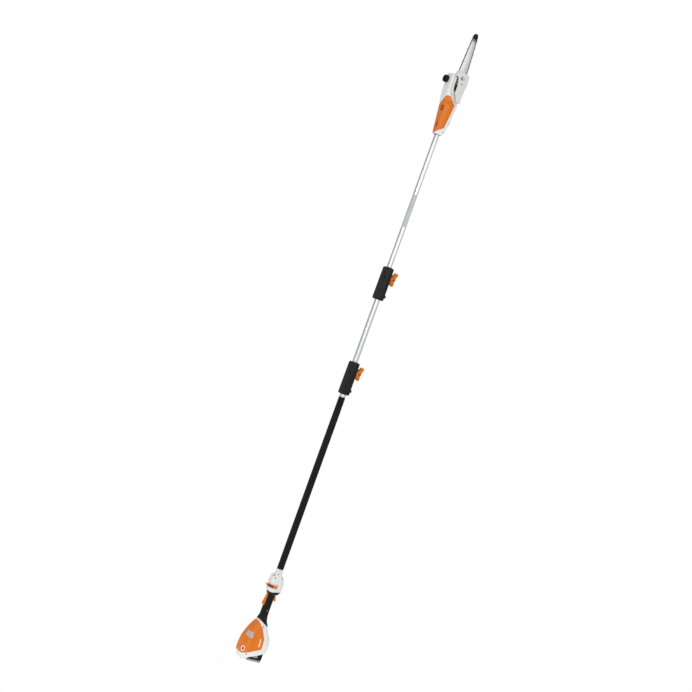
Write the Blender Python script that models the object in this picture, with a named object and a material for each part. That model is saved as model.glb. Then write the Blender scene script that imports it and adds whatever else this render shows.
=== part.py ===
"""Telescoping pole saw: a battery housing and control handle, a three-part square telescopic shaft
held by two toggle clamps, and a motor head that drives a chain round a guide bar.

The shaft runs along +Z through the origin, which is the middle of the hand grip.
-X is the top of the tool in use, with the lockout lever, and +X is the underside, with the trigger.
-Y is the right-hand side, which carries the sprocket cover and the guide bar. Lengths are in metres."""

import math

import bmesh
import bpy
from mathutils import Matrix, Vector

# ---------------------------------------------------------------- driving dimensions
WALL = 0.0026  # moulded shells
GAP = 0.0004  # clearance between pieces that meet
COVER_GAP = 0.0014  # joint line round the motor cover
PROUD = 0.0008  # how far a coloured cover stands out of the white shell round it
CORNER_STEPS = 4  # facets in each rounded corner of a section

BASE_BOTTOM = -0.330
BASE_HEIGHT = 0.251
GRIP_TOP = 0.0876
CONTROL_BOTTOM = GRIP_TOP + GAP
CONTROL_HEIGHT = 0.141
FOAM_START = CONTROL_BOTTOM + CONTROL_HEIGHT + GAP
FOAM_LENGTH = 1.070
BARE_TUBE_BELOW_CLAMP = 0.018
CLAMP_LENGTH = 0.199
MID_EXTENSION = 0.389  # free length of the middle tube at full stretch
TOP_EXTENSION = 0.827
HEAD_LENGTH = 0.378
BAR_REACH = 0.249  # from the head's top to the tip of the chain

LOWER_CLAMP = FOAM_START + FOAM_LENGTH + BARE_TUBE_BELOW_CLAMP
UPPER_CLAMP = LOWER_CLAMP + CLAMP_LENGTH + MID_EXTENSION
HEAD_BOTTOM = UPPER_CLAMP + CLAMP_LENGTH + TOP_EXTENSION
HEAD_TOP = HEAD_BOTTOM + HEAD_LENGTH

TUBE_WALL = 0.0009
TUBE_CLEARANCE = 0.0005
LOWER_HALF = 0.0144  # half the width of each square tube
MID_HALF = LOWER_HALF - TUBE_WALL - TUBE_CLEARANCE
TOP_HALF = MID_HALF - TUBE_WALL - TUBE_CLEARANCE
TUBE_CORNER = 0.0062
MID_CORNER = TUBE_CORNER - 0.0016
TOP_CORNER = TUBE_CORNER - 0.0032
TUBE_SOCKET = 0.045  # length of the top tube inside the head
FOAM_THICKNESS = 0.0018

SHAFT_Z = HEAD_BOTTOM + 0.293  # height of the sprocket shaft
BAR_PLANE = -0.037  # Y of the middle of the guide bar
MOUNT_FACE = -0.030  # Y of the flat face that the bar and cover are bolted to


# ---------------------------------------------------------------- materials
def material(name, rgb, roughness, metallic=0.0):
    made = bpy.data.materials.new(name)
    made.use_nodes = True
    shader = made.node_tree.nodes["Principled BSDF"]
    shader.inputs["Base Color"].default_value = (*rgb, 1.0)
    shader.inputs["Roughness"].default_value = roughness
    shader.inputs["Metallic"].default_value = metallic
    made.diffuse_color = (*rgb, 1.0)
    return made


WHITE = material("white_moulding", (0.82, 0.82, 0.80), 0.40)
ORANGE = material("orange_moulding", (0.83, 0.21, 0.02), 0.38)
BLACK = material("black_moulding", (0.015, 0.015, 0.016), 0.50)
FOAM = material("black_foam", (0.020, 0.020, 0.021), 0.85)
GREY = material("grey_moulding", (0.25, 0.25, 0.26), 0.50)
PALE_GREY = material("pale_grey_moulding", (0.62, 0.62, 0.61), 0.45)
TANK_WHITE = material("tank_plastic", (0.80, 0.80, 0.77), 0.35)
ALUMINIUM = material("anodised_aluminium", (0.80, 0.80, 0.80), 0.30, 1.0)
BAR_STEEL = material("bar_steel", (0.60, 0.60, 0.59), 0.32, 1.0)
DARK_STEEL = material("dark_steel", (0.10, 0.10, 0.10), 0.40, 1.0)
COPPER = material("copper_winding", (0.55, 0.25, 0.12), 0.45, 1.0)


# ---------------------------------------------------------------- making pieces
def clear_scene():
    for obj in list(bpy.data.objects):
        bpy.data.objects.remove(obj)


def finish(name, bm, mat, sharp_degrees=35):
    """Turns a bmesh into a named object with its material and smooth shading."""
    bmesh.ops.remove_doubles(bm, verts=bm.verts, dist=1e-6)
    mesh = bpy.data.meshes.new(name)
    bm.to_mesh(mesh)
    bm.free()
    mesh.materials.append(mat)
    mesh.shade_smooth()
    mesh.set_sharp_from_angle(angle=math.radians(sharp_degrees))
    obj = bpy.data.objects.new(name, mesh)
    bpy.context.scene.collection.objects.link(obj)
    return obj


def helper(obj):
    obj.hide_render = True
    obj.display_type = "WIRE"
    return obj


def boolean(obj, other, operation="DIFFERENCE"):
    modifier = obj.modifiers.new(operation.lower(), "BOOLEAN")
    modifier.operation = operation
    modifier.object = helper(other)
    return obj


def thicken(obj, thickness):
    """Gives an open skin a wall that grows inwards."""
    modifier = obj.modifiers.new("wall", "SOLIDIFY")
    modifier.thickness = thickness
    modifier.offset = -1.0
    modifier.use_even_offset = True
    return obj


def section_ring(bm, z, x_min, x_max, y_min, y_max, radius, steps):
    """Corners of a rounded rectangle at height z."""
    centres = (
        (x_max - radius, y_max - radius, 0),
        (x_min + radius, y_max - radius, 90),
        (x_min + radius, y_min + radius, 180),
        (x_max - radius, y_min + radius, 270),
    )
    verts = []
    for cx, cy, start in centres:
        for i in range(steps + 1):
            angle = math.radians(start + 90 * i / steps)
            x, y = cx + radius * math.cos(angle), cy + radius * math.sin(angle)
            verts.append(bm.verts.new((x, y, z)))
    return verts


def loft(bm, rings, closed=False):
    """Faces between each ring of corners and the next; closed also joins the last to the first."""
    for one, other in zip(rings, rings[1:] + rings[:1] if closed else rings[1:]):
        for i in range(len(one)):
            bm.faces.new((one[i - 1], one[i], other[i], other[i - 1]))


def skin(sections, cap_bottom=False, cap_top=False, steps=CORNER_STEPS):
    """An outside surface lofted through rounded rectangles (z, x_min, x_max, y_min, y_max, radius)."""
    bm = bmesh.new()
    rings = [section_ring(bm, *s, steps) for s in sections]
    loft(bm, rings)
    if cap_bottom:
        bm.faces.new(rings[0])
    if cap_top:
        bm.faces.new(rings[-1])
    bmesh.ops.recalc_face_normals(bm, faces=bm.faces)
    return bm


def cut_faces(bm, planes, keep):
    """Cuts the skin along planes (point, normal), then drops the faces whose centres keep() refuses."""
    for point, normal in planes:
        geom = list(bm.verts) + list(bm.edges) + list(bm.faces)
        bmesh.ops.bisect_plane(bm, geom=geom, dist=1e-6, plane_co=point, plane_no=normal)
    dropped = [f for f in bm.faces if not keep(f.calc_center_median())]
    bmesh.ops.delete(bm, geom=dropped, context="FACES")
    return bm


def slice_solid(bm, point, normal):
    """Keeps the side of a closed body that normal points away from, and closes the cut."""
    geom = list(bm.verts) + list(bm.edges) + list(bm.faces)
    cut = bmesh.ops.bisect_plane(
        bm, geom=geom, dist=1e-7, plane_co=point, plane_no=normal, clear_outer=True
    )
    edges = [e for e in cut["geom_cut"] if isinstance(e, bmesh.types.BMEdge)]
    bmesh.ops.holes_fill(bm, edges=edges, sides=0)
    bmesh.ops.recalc_face_normals(bm, faces=bm.faces)
    return bm


def grown(sections, by):
    """The same sections, larger by a distance all round."""
    return [(z, x0 - by, x1 + by, y0 - by, y1 + by, r + by) for z, x0, x1, y0, y1, r in sections]


def square_ring(name, mat, z0, z1, half, corner, wall, steps=3):
    """A square tube with rounded corners."""
    bm = bmesh.new()
    inner = half - wall
    inner_corner = max(corner - wall, 0.001)
    stations = ((z0, half, corner), (z1, half, corner), (z1, inner, inner_corner), (z0, inner, inner_corner))
    loft(bm, [section_ring(bm, z, -h, h, -h, h, r, steps) for z, h, r in stations], closed=True)
    bmesh.ops.recalc_face_normals(bm, faces=bm.faces)
    return finish(name, bm, mat)


def solid_block(name, mat, low, high, bevel=0.0, segments=2):
    bm = bmesh.new()
    bmesh.ops.create_cube(bm, size=1.0)
    low, high = Vector(low), Vector(high)
    size = high - low
    bmesh.ops.scale(bm, vec=size, verts=bm.verts)
    bmesh.ops.translate(bm, vec=(low + high) / 2, verts=bm.verts)
    if bevel:
        bmesh.ops.bevel(
            bm, geom=bm.edges[:], offset=bevel, segments=segments, profile=0.5, affect="EDGES", material=-1
        )
    return finish(name, bm, mat)


def turned(name, mat, profile, origin, axis, sides=24):
    """A body turned about an axis: profile is a closed list of (radius, distance along the axis)."""
    bm = bmesh.new()
    verts = [bm.verts.new((r, 0.0, h)) for r, h in profile]
    edges = [bm.edges.new((a, b)) for a, b in zip(verts, verts[1:] + verts[:1])]
    on_axis = [e for e in edges if all(v.co.x == 0.0 for v in e.verts)]
    bmesh.ops.delete(bm, geom=on_axis, context="EDGES_FACES")
    bmesh.ops.spin(
        bm,
        geom=bm.verts[:] + bm.edges[:],
        cent=(0, 0, 0),
        axis=(0, 0, 1),
        angle=math.tau,
        steps=sides,
        use_merge=True,
    )
    bmesh.ops.remove_doubles(bm, verts=bm.verts, dist=1e-6)
    bmesh.ops.recalc_face_normals(bm, faces=bm.faces)
    obj = finish(name, bm, mat)
    turn = Vector(axis).to_track_quat("Z", "Y").to_matrix().to_4x4()
    obj.matrix_world = Matrix.Translation(origin) @ turn
    return obj


def rod(name, mat, start, end, radius, sides=16):
    start, end = Vector(start), Vector(end)
    length = (end - start).length
    profile = [(0.0, 0.0), (radius, 0.0), (radius, length), (0.0, length)]
    return turned(name, mat, profile, start, end - start, sides)


def ring(name, mat, start, end, outer, inner, sides=20):
    start, end = Vector(start), Vector(end)
    length = (end - start).length
    profile = [(inner, 0.0), (outer, 0.0), (outer, length), (inner, length)]
    return turned(name, mat, profile, start, end - start, sides)


def side_profile(name, mat, points, y_min, y_max, bevel=0.0, segments=2):
    """A closed outline in X and Z, given thickness along Y, with its two rims rounded."""
    bm = bmesh.new()
    face = bm.faces.new([bm.verts.new((x, y_min, z)) for x, z in points])
    made = bmesh.ops.extrude_face_region(bm, geom=[face])
    moved = [v for v in made["geom"] if isinstance(v, bmesh.types.BMVert)]
    bmesh.ops.translate(bm, vec=(0, y_max - y_min, 0), verts=moved)
    bmesh.ops.recalc_face_normals(bm, faces=bm.faces)
    if bevel:
        rims = [e for e in bm.edges if abs(e.verts[0].co.y - e.verts[1].co.y) < 1e-9]
        bmesh.ops.bevel(
            bm, geom=rims, offset=bevel, segments=segments, profile=0.5, affect="EDGES", material=-1
        )
    return finish(name, bm, mat)


def halves(name, sections, planes, keep, mat, wall=WALL, cap_top=False, reshape=None):
    """A shell split on the plane Y = 0 into a left (+Y) and a right (-Y) half."""
    for suffix, side in (("left", 1), ("right", -1)):
        seam = [((0, side * GAP / 2, 0), (0, 1, 0))]
        bm = skin(sections, cap_top=cap_top)
        if reshape:
            reshape(bm)
        cut_faces(bm, planes + seam, lambda c, s=side: c.y * s > GAP / 2 and keep(c))
        thicken(finish(f"{name}_{suffix}", bm, mat), wall)


# ---------------------------------------------------------------- battery housing at the base
# Height above the bottom, reach towards -X, reach towards +X, half depth, corner radius.
BASE_STATIONS = (
    (0.0010, 0.066, 0.066, 0.057, 0.019),
    (0.0060, 0.071, 0.071, 0.062, 0.022),
    (0.0160, 0.0745, 0.0745, 0.066, 0.024),
    (0.0610, 0.0745, 0.075, 0.067, 0.024),
    (0.0900, 0.073, 0.075, 0.066, 0.024),
    (0.1200, 0.070, 0.074, 0.064, 0.024),
    (0.1490, 0.064, 0.069, 0.059, 0.024),
    (0.1780, 0.056, 0.055, 0.052, 0.023),
    (0.2070, 0.0455, 0.039, 0.044, 0.022),
    (0.2370, 0.031, 0.025, 0.033, 0.020),
    (BASE_HEIGHT, 0.022, 0.018, 0.024, 0.0155),
)
BASE_SECTIONS = [(BASE_BOTTOM + h, -top, under, -deep, deep, r) for h, top, under, deep, r in BASE_STATIONS]

# The orange cover is the part of the housing inside these lines in X and height:
# a point on each line and the direction that points out of the cover.
COVER_LINES = (
    ((-0.073, 0.038), (0.395, -0.919)),
    ((0.026, 0.110), (1.0, 0.0)),
    ((0.026, 0.145), (0.917, 0.400)),
    ((0.001, 0.202), (0.770, 0.638)),
    ((-0.030, 0.2385), (0.10, 0.995)),
)
BATTERY_X = (-0.029, 0.065)
BATTERY_HALF_Y = 0.044
BATTERY_HEIGHTS = (0.020, 0.140)
BATTERY_END_HEIGHT = 0.0015
BATTERY_TRAVEL = 0.085
FOOT_EDGE_X = BATTERY_X[0] - 0.004
LATCH_X = (0.000, 0.030)
LATCH_HEIGHTS = (0.027, 0.047)
LATCH_DEPTH = 0.0030  # how far each latch button sits inside the battery's side at rest
LATCH_PROUD = 0.0045
LATCH_TRAVEL = 0.0025
WINDOW_EDGE_X = -0.034  # the shells are cut away on the +X side of this, and show the battery
WINDOW_HEIGHT = 0.018
WINDOW_SLOPE = 0.47


def outside_cover(x, z):
    """Signed distance from the cover's outline: positive outside it."""
    lines = (
        (Vector((x, z)) - Vector((point[0], BASE_BOTTOM + point[1]))).dot(Vector(out).normalized())
        for point, out in COVER_LINES
    )
    return max(lines)


def cover_planes(offset):
    planes = []
    for point, out in COVER_LINES:
        out = Vector(out).normalized()
        x, z = point[0] + out.x * offset, BASE_BOTTOM + point[1] + out.y * offset
        planes.append(((x, 0, z), (out.x, 0, out.y)))
    return planes


def in_window(x, z):
    return x > WINDOW_EDGE_X and z < BASE_BOTTOM + WINDOW_HEIGHT + WINDOW_SLOPE * (x - WINDOW_EDGE_X)


def make_base():
    window_planes = [
        ((WINDOW_EDGE_X, 0, 0), (1, 0, 0)),
        ((WINDOW_EDGE_X, 0, BASE_BOTTOM + WINDOW_HEIGHT), (-WINDOW_SLOPE, 0, 1)),
    ]
    halves(
        "base_shell",
        BASE_SECTIONS,
        cover_planes(GAP / 2) + window_planes,
        lambda c: outside_cover(c.x, c.z) > GAP / 2 and not in_window(c.x, c.z),
        WHITE,
    )
    bm = skin(grown(BASE_SECTIONS, PROUD))
    cut_faces(bm, cover_planes(-GAP / 2), lambda c: outside_cover(c.x, c.z) < -GAP / 2)
    thicken(finish("base_cover", bm, ORANGE), WALL)

    foot = BASE_STATIONS[0]
    inset = WALL + 2 * GAP
    outline = (-foot[1] + inset, 0.040, -foot[3] + inset, foot[3] - inset, foot[4] - inset)
    bm = skin([(BASE_BOTTOM, *outline), (BASE_BOTTOM + 0.006, *outline)], cap_bottom=True, cap_top=True)
    slice_solid(bm, (FOOT_EDGE_X, 0, 0), (1, 0, 0))
    finish("base_foot", bm, BLACK)

    solid_block(
        "battery_contacts",
        BLACK,
        (-0.012, -0.026, BASE_BOTTOM + BATTERY_HEIGHTS[1] + GAP),
        (0.034, 0.026, BASE_BOTTOM + BATTERY_HEIGHTS[1] + 0.012),
        bevel=0.001,
        segments=1,
    )
    solid_block(
        "motor_controller",
        GREY,
        (-0.064, -0.040, BASE_BOTTOM + 0.022),
        (BATTERY_X[0] - 0.003, 0.040, BASE_BOTTOM + 0.125),
        bevel=0.002,
        segments=1,
    )


def block_between(name, corner, opposite, **rounding):
    """A black block between two opposite corners, given in any order."""
    low = [min(pair) for pair in zip(corner, opposite)]
    high = [max(pair) for pair in zip(corner, opposite)]
    return solid_block(name, BLACK, low, high, **rounding)


def make_battery():
    x_low, x_high = BATTERY_X
    case = solid_block(
        "battery_case",
        BLACK,
        (x_low, -BATTERY_HALF_Y, BASE_BOTTOM + BATTERY_HEIGHTS[0]),
        (x_high, BATTERY_HALF_Y, BASE_BOTTOM + BATTERY_HEIGHTS[1]),
        bevel=0.006,
    )
    solid_block(
        "battery_end",
        GREY,
        (x_low + 0.002, -BATTERY_HALF_Y + 0.002, BASE_BOTTOM + BATTERY_END_HEIGHT),
        (x_high - 0.002, BATTERY_HALF_Y - 0.002, BASE_BOTTOM + BATTERY_HEIGHTS[0] - GAP),
        bevel=0.004,
    )
    low, high = (BASE_BOTTOM + h for h in LATCH_HEIGHTS)
    for suffix, side in (("left", 1), ("right", -1)):
        inner = BATTERY_HALF_Y - LATCH_DEPTH
        outer = BATTERY_HALF_Y + LATCH_PROUD
        block_between(
            f"battery_latch_{suffix}",
            (LATCH_X[0], side * inner, low),
            (LATCH_X[1], side * outer, high),
            bevel=0.0012,
            segments=1,
        )
        pocket = block_between(
            f"battery_latch_pocket_{suffix}",
            (LATCH_X[0] - GAP, side * (inner - LATCH_TRAVEL - GAP), low - GAP),
            (LATCH_X[1] + GAP, side * (outer + 0.01), high + GAP),
        )
        boolean(case, pocket)


# ---------------------------------------------------------------- hand grip
SKIRT = 0.0032  # how far the grip's skirt stands outside the base housing
GRIP_HALF_X = 0.0208
GRIP_HALF_Y = 0.0168
GRIP_CORNER = 0.0122
SKIRT_CUT = ((-0.030, 0, BASE_BOTTOM + 0.252), (0.480, 0, 0.877))
LEVER_WIDTH = 0.014
SLOT_HALF = LEVER_WIDTH / 2 + 0.0014
LOCKOUT_SLOT = (-0.006, 0.0815)  # heights of the slot in the top of the grip
TRIGGER_SLOT = (0.034, 0.0815)
LEVER_PIVOT_X = 0.0125
LEVER_PIVOT_Z = 0.0725
PIN_RADIUS = 0.0025

GRIP_SECTIONS = [
    *grown(BASE_SECTIONS[8:10], SKIRT),
    (BASE_BOTTOM + 0.2510, -0.0275, 0.0235, -0.0275, 0.0275, 0.018),
    (BASE_BOTTOM + 0.2620, -0.0245, 0.0225, -0.0220, 0.0220, 0.014),
    (BASE_BOTTOM + 0.2760, -0.0215, 0.0215, -0.0175, 0.0175, GRIP_CORNER),
    (BASE_BOTTOM + 0.3000, -GRIP_HALF_X, GRIP_HALF_X, -GRIP_HALF_Y, GRIP_HALF_Y, GRIP_CORNER),
    (0.0700, -GRIP_HALF_X, GRIP_HALF_X, -GRIP_HALF_Y, GRIP_HALF_Y, GRIP_CORNER),
    (0.0790, -0.0235, 0.0270, -0.0215, 0.0215, 0.014),
    (0.0825, -0.0245, 0.0340, -0.0280, 0.0280, 0.016),
    (GRIP_TOP, -0.0250, 0.0350, -0.0290, 0.0290, 0.017),
]


def in_lever_slot(c):
    low, high = LOCKOUT_SLOT if c.x < 0 else TRIGGER_SLOT
    return abs(c.y) < SLOT_HALF and low < c.z < high


def make_grip():
    slot_planes = [((0, side * SLOT_HALF, 0), (0, 1, 0)) for side in (1, -1)]
    slot_planes += [((0, 0, z), (0, 0, 1)) for z in (*LOCKOUT_SLOT, TRIGGER_SLOT[0])]
    skirt_point, skirt_out = Vector(SKIRT_CUT[0]), Vector(SKIRT_CUT[1])
    halves(
        "grip_shell",
        GRIP_SECTIONS,
        [SKIRT_CUT] + slot_planes,
        lambda c: (c - skirt_point).dot(skirt_out) > 0 and not in_lever_slot(c),
        BLACK,
        wall=0.0024,
    )
    half = GRIP_HALF_Y - 0.0024 - GAP
    for name, x in (("lockout_pin", -LEVER_PIVOT_X), ("trigger_pin", LEVER_PIVOT_X)):
        rod(name, DARK_STEEL, (x, -half, LEVER_PIVOT_Z), (x, half, LEVER_PIVOT_Z), PIN_RADIUS, 12)
    low, high = (-0.0055, -0.009, 0.030), (0.0045, 0.009, 0.056)
    solid_block("trigger_switch", BLACK, low, high, bevel=0.001, segments=1)


def lever(name, outline, pivot_x):
    """A lever with a bore that runs on its pin."""
    obj = side_profile(name, ORANGE, outline, -LEVER_WIDTH / 2, LEVER_WIDTH / 2, bevel=0.0022)
    bore = rod(
        f"{name}_bore",
        ORANGE,
        (pivot_x, -LEVER_WIDTH, LEVER_PIVOT_Z),
        (pivot_x, LEVER_WIDTH, LEVER_PIVOT_Z),
        PIN_RADIUS + GAP,
        12,
    )
    return boolean(obj, bore)


def make_levers():
    lever(
        "lockout_lever",
        (
            (-0.0075, 0.0770),
            (-0.0210, 0.0800),
            (-0.0270, 0.0760),
            (-0.0295, 0.0560),
            (-0.0350, 0.0300),
            (-0.0385, 0.0170),
            (-0.0375, 0.0100),
            (-0.0320, 0.0060),
            (-0.0250, -0.0010),
            (-0.0215, 0.0020),
            (-0.0190, 0.0200),
            (-0.0170, 0.0500),
            (-0.0085, 0.0660),
        ),
        -LEVER_PIVOT_X,
    )
    lever(
        "trigger",
        (
            (0.0075, 0.0770),
            (0.0085, 0.0660),
            (0.0180, 0.0550),
            (0.0200, 0.0420),
            (0.0320, 0.0370),
            (0.0390, 0.0380),
            (0.0408, 0.0430),
            (0.0375, 0.0560),
            (0.0310, 0.0700),
            (0.0230, 0.0795),
        ),
        LEVER_PIVOT_X,
    )


# ---------------------------------------------------------------- control housing
# Height above the bottom, reach towards -X, reach towards +X, half depth, corner radius.
CONTROL_STATIONS = (
    (0.000, 0.026, 0.036, 0.030, 0.018),
    (0.012, 0.0355, 0.0435, 0.034, 0.020),
    (0.027, 0.0380, 0.0460, 0.036, 0.020),
    (0.058, 0.0390, 0.0455, 0.036, 0.020),
    (0.082, 0.0380, 0.0385, 0.033, 0.019),
    (0.099, 0.0345, 0.0310, 0.028, 0.017),
    (0.110, 0.0240, 0.0215, 0.0215, 0.0125),
    (0.118, 0.0185, 0.0185, 0.0185, 0.0100),
    (CONTROL_HEIGHT, 0.0180, 0.0180, 0.0180, 0.0095),
)
CONTROL_SECTIONS = [(CONTROL_BOTTOM + h, -t, u, -d, d, r) for h, t, u, d, r in CONTROL_STATIONS]
SLIDER_HEIGHTS = (0.028, 0.044)  # of the orange band, above the housing's bottom
SLIDER_TRAVEL = 0.008
SLIDER_END_X = 0.004
SLIDER_SLOT = (SLIDER_HEIGHTS[0] - 0.0012, SLIDER_HEIGHTS[1] + SLIDER_TRAVEL + 0.0012)


def make_control_housing():
    slot_low, slot_high = (CONTROL_BOTTOM + h for h in SLIDER_SLOT)
    slot_end = SLIDER_END_X + 0.0012
    planes = [
        ((0, 0, slot_low), (0, 0, 1)),
        ((0, 0, slot_high), (0, 0, 1)),
        ((slot_end, 0, 0), (1, 0, 0)),
    ]
    halves(
        "control_housing",
        CONTROL_SECTIONS,
        planes,
        lambda c: not (c.x < slot_end and slot_low < c.z < slot_high),
        WHITE,
    )


def make_unlock_slider():
    """A band across the top of the housing with a thumb lug."""
    low, high = (CONTROL_BOTTOM + h for h in SLIDER_HEIGHTS)
    station = CONTROL_STATIONS[3]
    reach, deep, corner = station[1] - 0.0015, station[3] - 0.0015, station[4] - 0.0015
    bm = skin([(z, -reach, 0.030, -deep, deep, corner) for z in (low, high)])
    cut_faces(bm, [((SLIDER_END_X, 0, 0), (1, 0, 0))], lambda c: c.x < SLIDER_END_X)
    band = thicken(finish("unlock_slider", bm, ORANGE), 0.0045)
    lug = solid_block(
        "unlock_slider_lug",
        ORANGE,
        (-reach - 0.013, -0.013, low + 0.0025),
        (-reach + 0.0035, 0.013, high - 0.0025),
        bevel=0.002,
        segments=1,
    )
    boolean(band, lug, "UNION")


# ---------------------------------------------------------------- shaft
LOWER_TUBE_BOTTOM = CONTROL_BOTTOM + 0.020
STEP_HEIGHT = 0.116  # inside a clamp, where the outer of its two tubes ends
MID_OVERLAP = 0.516  # length of the middle tube inside the lower one at full stretch
TOP_OVERLAP = 0.236
GUIDE_LENGTH = 0.024
GUIDE_WALL = 0.0022


def make_tubes():
    lower_top = LOWER_CLAMP + STEP_HEIGHT
    square_ring("lower_tube", ALUMINIUM, LOWER_TUBE_BOTTOM, lower_top, LOWER_HALF, TUBE_CORNER, TUBE_WALL)
    square_ring(
        "foam_sleeve",
        FOAM,
        FOAM_START,
        FOAM_START + FOAM_LENGTH,
        LOWER_HALF + GAP + FOAM_THICKNESS,
        TUBE_CORNER + GAP + FOAM_THICKNESS,
        FOAM_THICKNESS,
    )
    mid_bottom = LOWER_CLAMP + CLAMP_LENGTH - MID_OVERLAP
    top_bottom = UPPER_CLAMP + CLAMP_LENGTH - TOP_OVERLAP
    mid_top, top_top = UPPER_CLAMP + STEP_HEIGHT, HEAD_BOTTOM + TUBE_SOCKET
    square_ring("mid_tube", ALUMINIUM, mid_bottom, mid_top, MID_HALF, MID_CORNER, TUBE_WALL)
    square_ring("top_tube", ALUMINIUM, top_bottom, top_top, TOP_HALF, TOP_CORNER, TUBE_WALL)
    for name, bottom, half, corner in (
        ("mid_guide", mid_bottom, MID_HALF, MID_CORNER),
        ("top_guide", top_bottom, TOP_HALF, TOP_CORNER),
    ):
        end = bottom - GAP
        square_ring(name, BLACK, end - GUIDE_LENGTH, end, half + TUBE_CLEARANCE / 2, corner, GUIDE_WALL)


COIL_RADIUS = 0.0070  # outside of the coiled lead's turns
LEAD_RADIUS = 0.0030


def make_leads():
    top_bottom = UPPER_CLAMP + CLAMP_LENGTH - TOP_OVERLAP
    coil_top = top_bottom - GAP - GUIDE_LENGTH - GAP
    rod("coiled_lead", BLACK, (0, 0, LOWER_TUBE_BOTTOM + 0.004), (0, 0, coil_top), COIL_RADIUS, 12)
    rod("head_lead", BLACK, (0, 0, coil_top + GAP), (0, 0, HEAD_BOTTOM + 0.095), LEAD_RADIUS, 10)


# ---------------------------------------------------------------- toggle clamps
CLAMP_HALF = 0.0290
CLAMP_CORNER = 0.015
CLAMP_MOUTH = 0.183  # height where the bore widens for the wiper bush
TOGGLE_HEIGHT = 0.141
STUD_RADIUS = 0.0040
SHOE_HALF_Y = 0.0085
SHOE_HALF_Z = 0.019
SHOE_THICKNESS = 0.0055
LUG_HEIGHT = 0.028  # of the bolt lug on the underside


def clamp_body(name, z0, outer_half, inner_half):
    """Two half shells round the end of the outer tube and the tube that slides in it."""
    wide, narrow, mouth = outer_half + GAP, inner_half + TUBE_CLEARANCE, inner_half + 0.0034
    bore = 0.0055
    outside = (
        (0.000, CLAMP_HALF - 0.0055, CLAMP_CORNER - 0.004),
        (0.006, CLAMP_HALF - 0.0005, CLAMP_CORNER),
        (0.012, CLAMP_HALF, CLAMP_CORNER),
        (CLAMP_LENGTH - 0.010, CLAMP_HALF - 0.0008, CLAMP_CORNER),
        (CLAMP_LENGTH - 0.003, CLAMP_HALF - 0.0028, CLAMP_CORNER - 0.002),
        (CLAMP_LENGTH, CLAMP_HALF - 0.0065, CLAMP_CORNER - 0.004),
    )
    inside = (
        (CLAMP_LENGTH, mouth, bore),
        (CLAMP_MOUTH, mouth, bore),
        (CLAMP_MOUTH, narrow, bore - 0.001),
        (STEP_HEIGHT + GAP, narrow, bore - 0.001),
        (STEP_HEIGHT + GAP, wide, bore),
        (0.000, wide, bore),
    )
    stud_z = z0 + TOGGLE_HEIGHT
    shoe_face = inner_half + TUBE_CLEARANCE / 2
    for suffix, side in (("left", 1), ("right", -1)):
        bm = bmesh.new()
        rings = [section_ring(bm, z0 + h, -w, w, -w, w, r, CORNER_STEPS) for h, w, r in outside + inside]
        loft(bm, rings, closed=True)
        bmesh.ops.recalc_face_normals(bm, faces=bm.faces)
        slice_solid(bm, (0, side * GAP / 2, 0), (0, -side, 0))
        half = finish(f"{name}_clamp_{suffix}", bm, BLACK)
        label = f"{name}_{suffix}"
        lug = rod(
            f"{label}_lug",
            BLACK,
            (CLAMP_HALF - 0.001, side * GAP / 2, z0 + LUG_HEIGHT),
            (CLAMP_HALF - 0.001, side * 0.016, z0 + LUG_HEIGHT),
            0.0115,
            16,
        )
        boolean(half, lug, "UNION")
        hole_radius = STUD_RADIUS + GAP
        stud_hole = rod(f"{label}_stud_hole", BLACK, (0.010, 0, stud_z), (0.040, 0, stud_z), hole_radius, 16)
        boolean(half, stud_hole)
        pocket = solid_block(
            f"{label}_pocket",
            BLACK,
            (0.006, -SHOE_HALF_Y - GAP, stud_z - SHOE_HALF_Z - GAP),
            (shoe_face + SHOE_THICKNESS + 2 * GAP, SHOE_HALF_Y + GAP, stud_z + SHOE_HALF_Z + GAP),
        )
        boolean(half, pocket)
    solid_block(
        f"{name}_clamp_shoe",
        GREY,
        (shoe_face, -SHOE_HALF_Y, stud_z - SHOE_HALF_Z),
        (shoe_face + SHOE_THICKNESS, SHOE_HALF_Y, stud_z + SHOE_HALF_Z),
        bevel=0.0008,
        segments=1,
    )
    square_ring(
        f"{name}_clamp_bush",
        GREY,
        z0 + CLAMP_MOUTH + GAP,
        z0 + CLAMP_LENGTH + 0.003,
        mouth - GAP,
        bore - GAP,
        mouth - GAP - inner_half - TUBE_CLEARANCE / 2,
    )
    toggle(f"{name}_toggle", stud_z, shoe_face + SHOE_THICKNESS + GAP)


TOGGLE_HUB_RADIUS = 0.0095
TOGGLE_FACE = CLAMP_HALF + 0.0012
TOGGLE_REACH = 0.042  # half the span of the wings
WING_TIP_X = 0.0700
WING_HALF_WIDTH = 0.0082
TOGGLE_TWIST = 14  # degrees that the wings are turned from the shaft at rest


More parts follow.
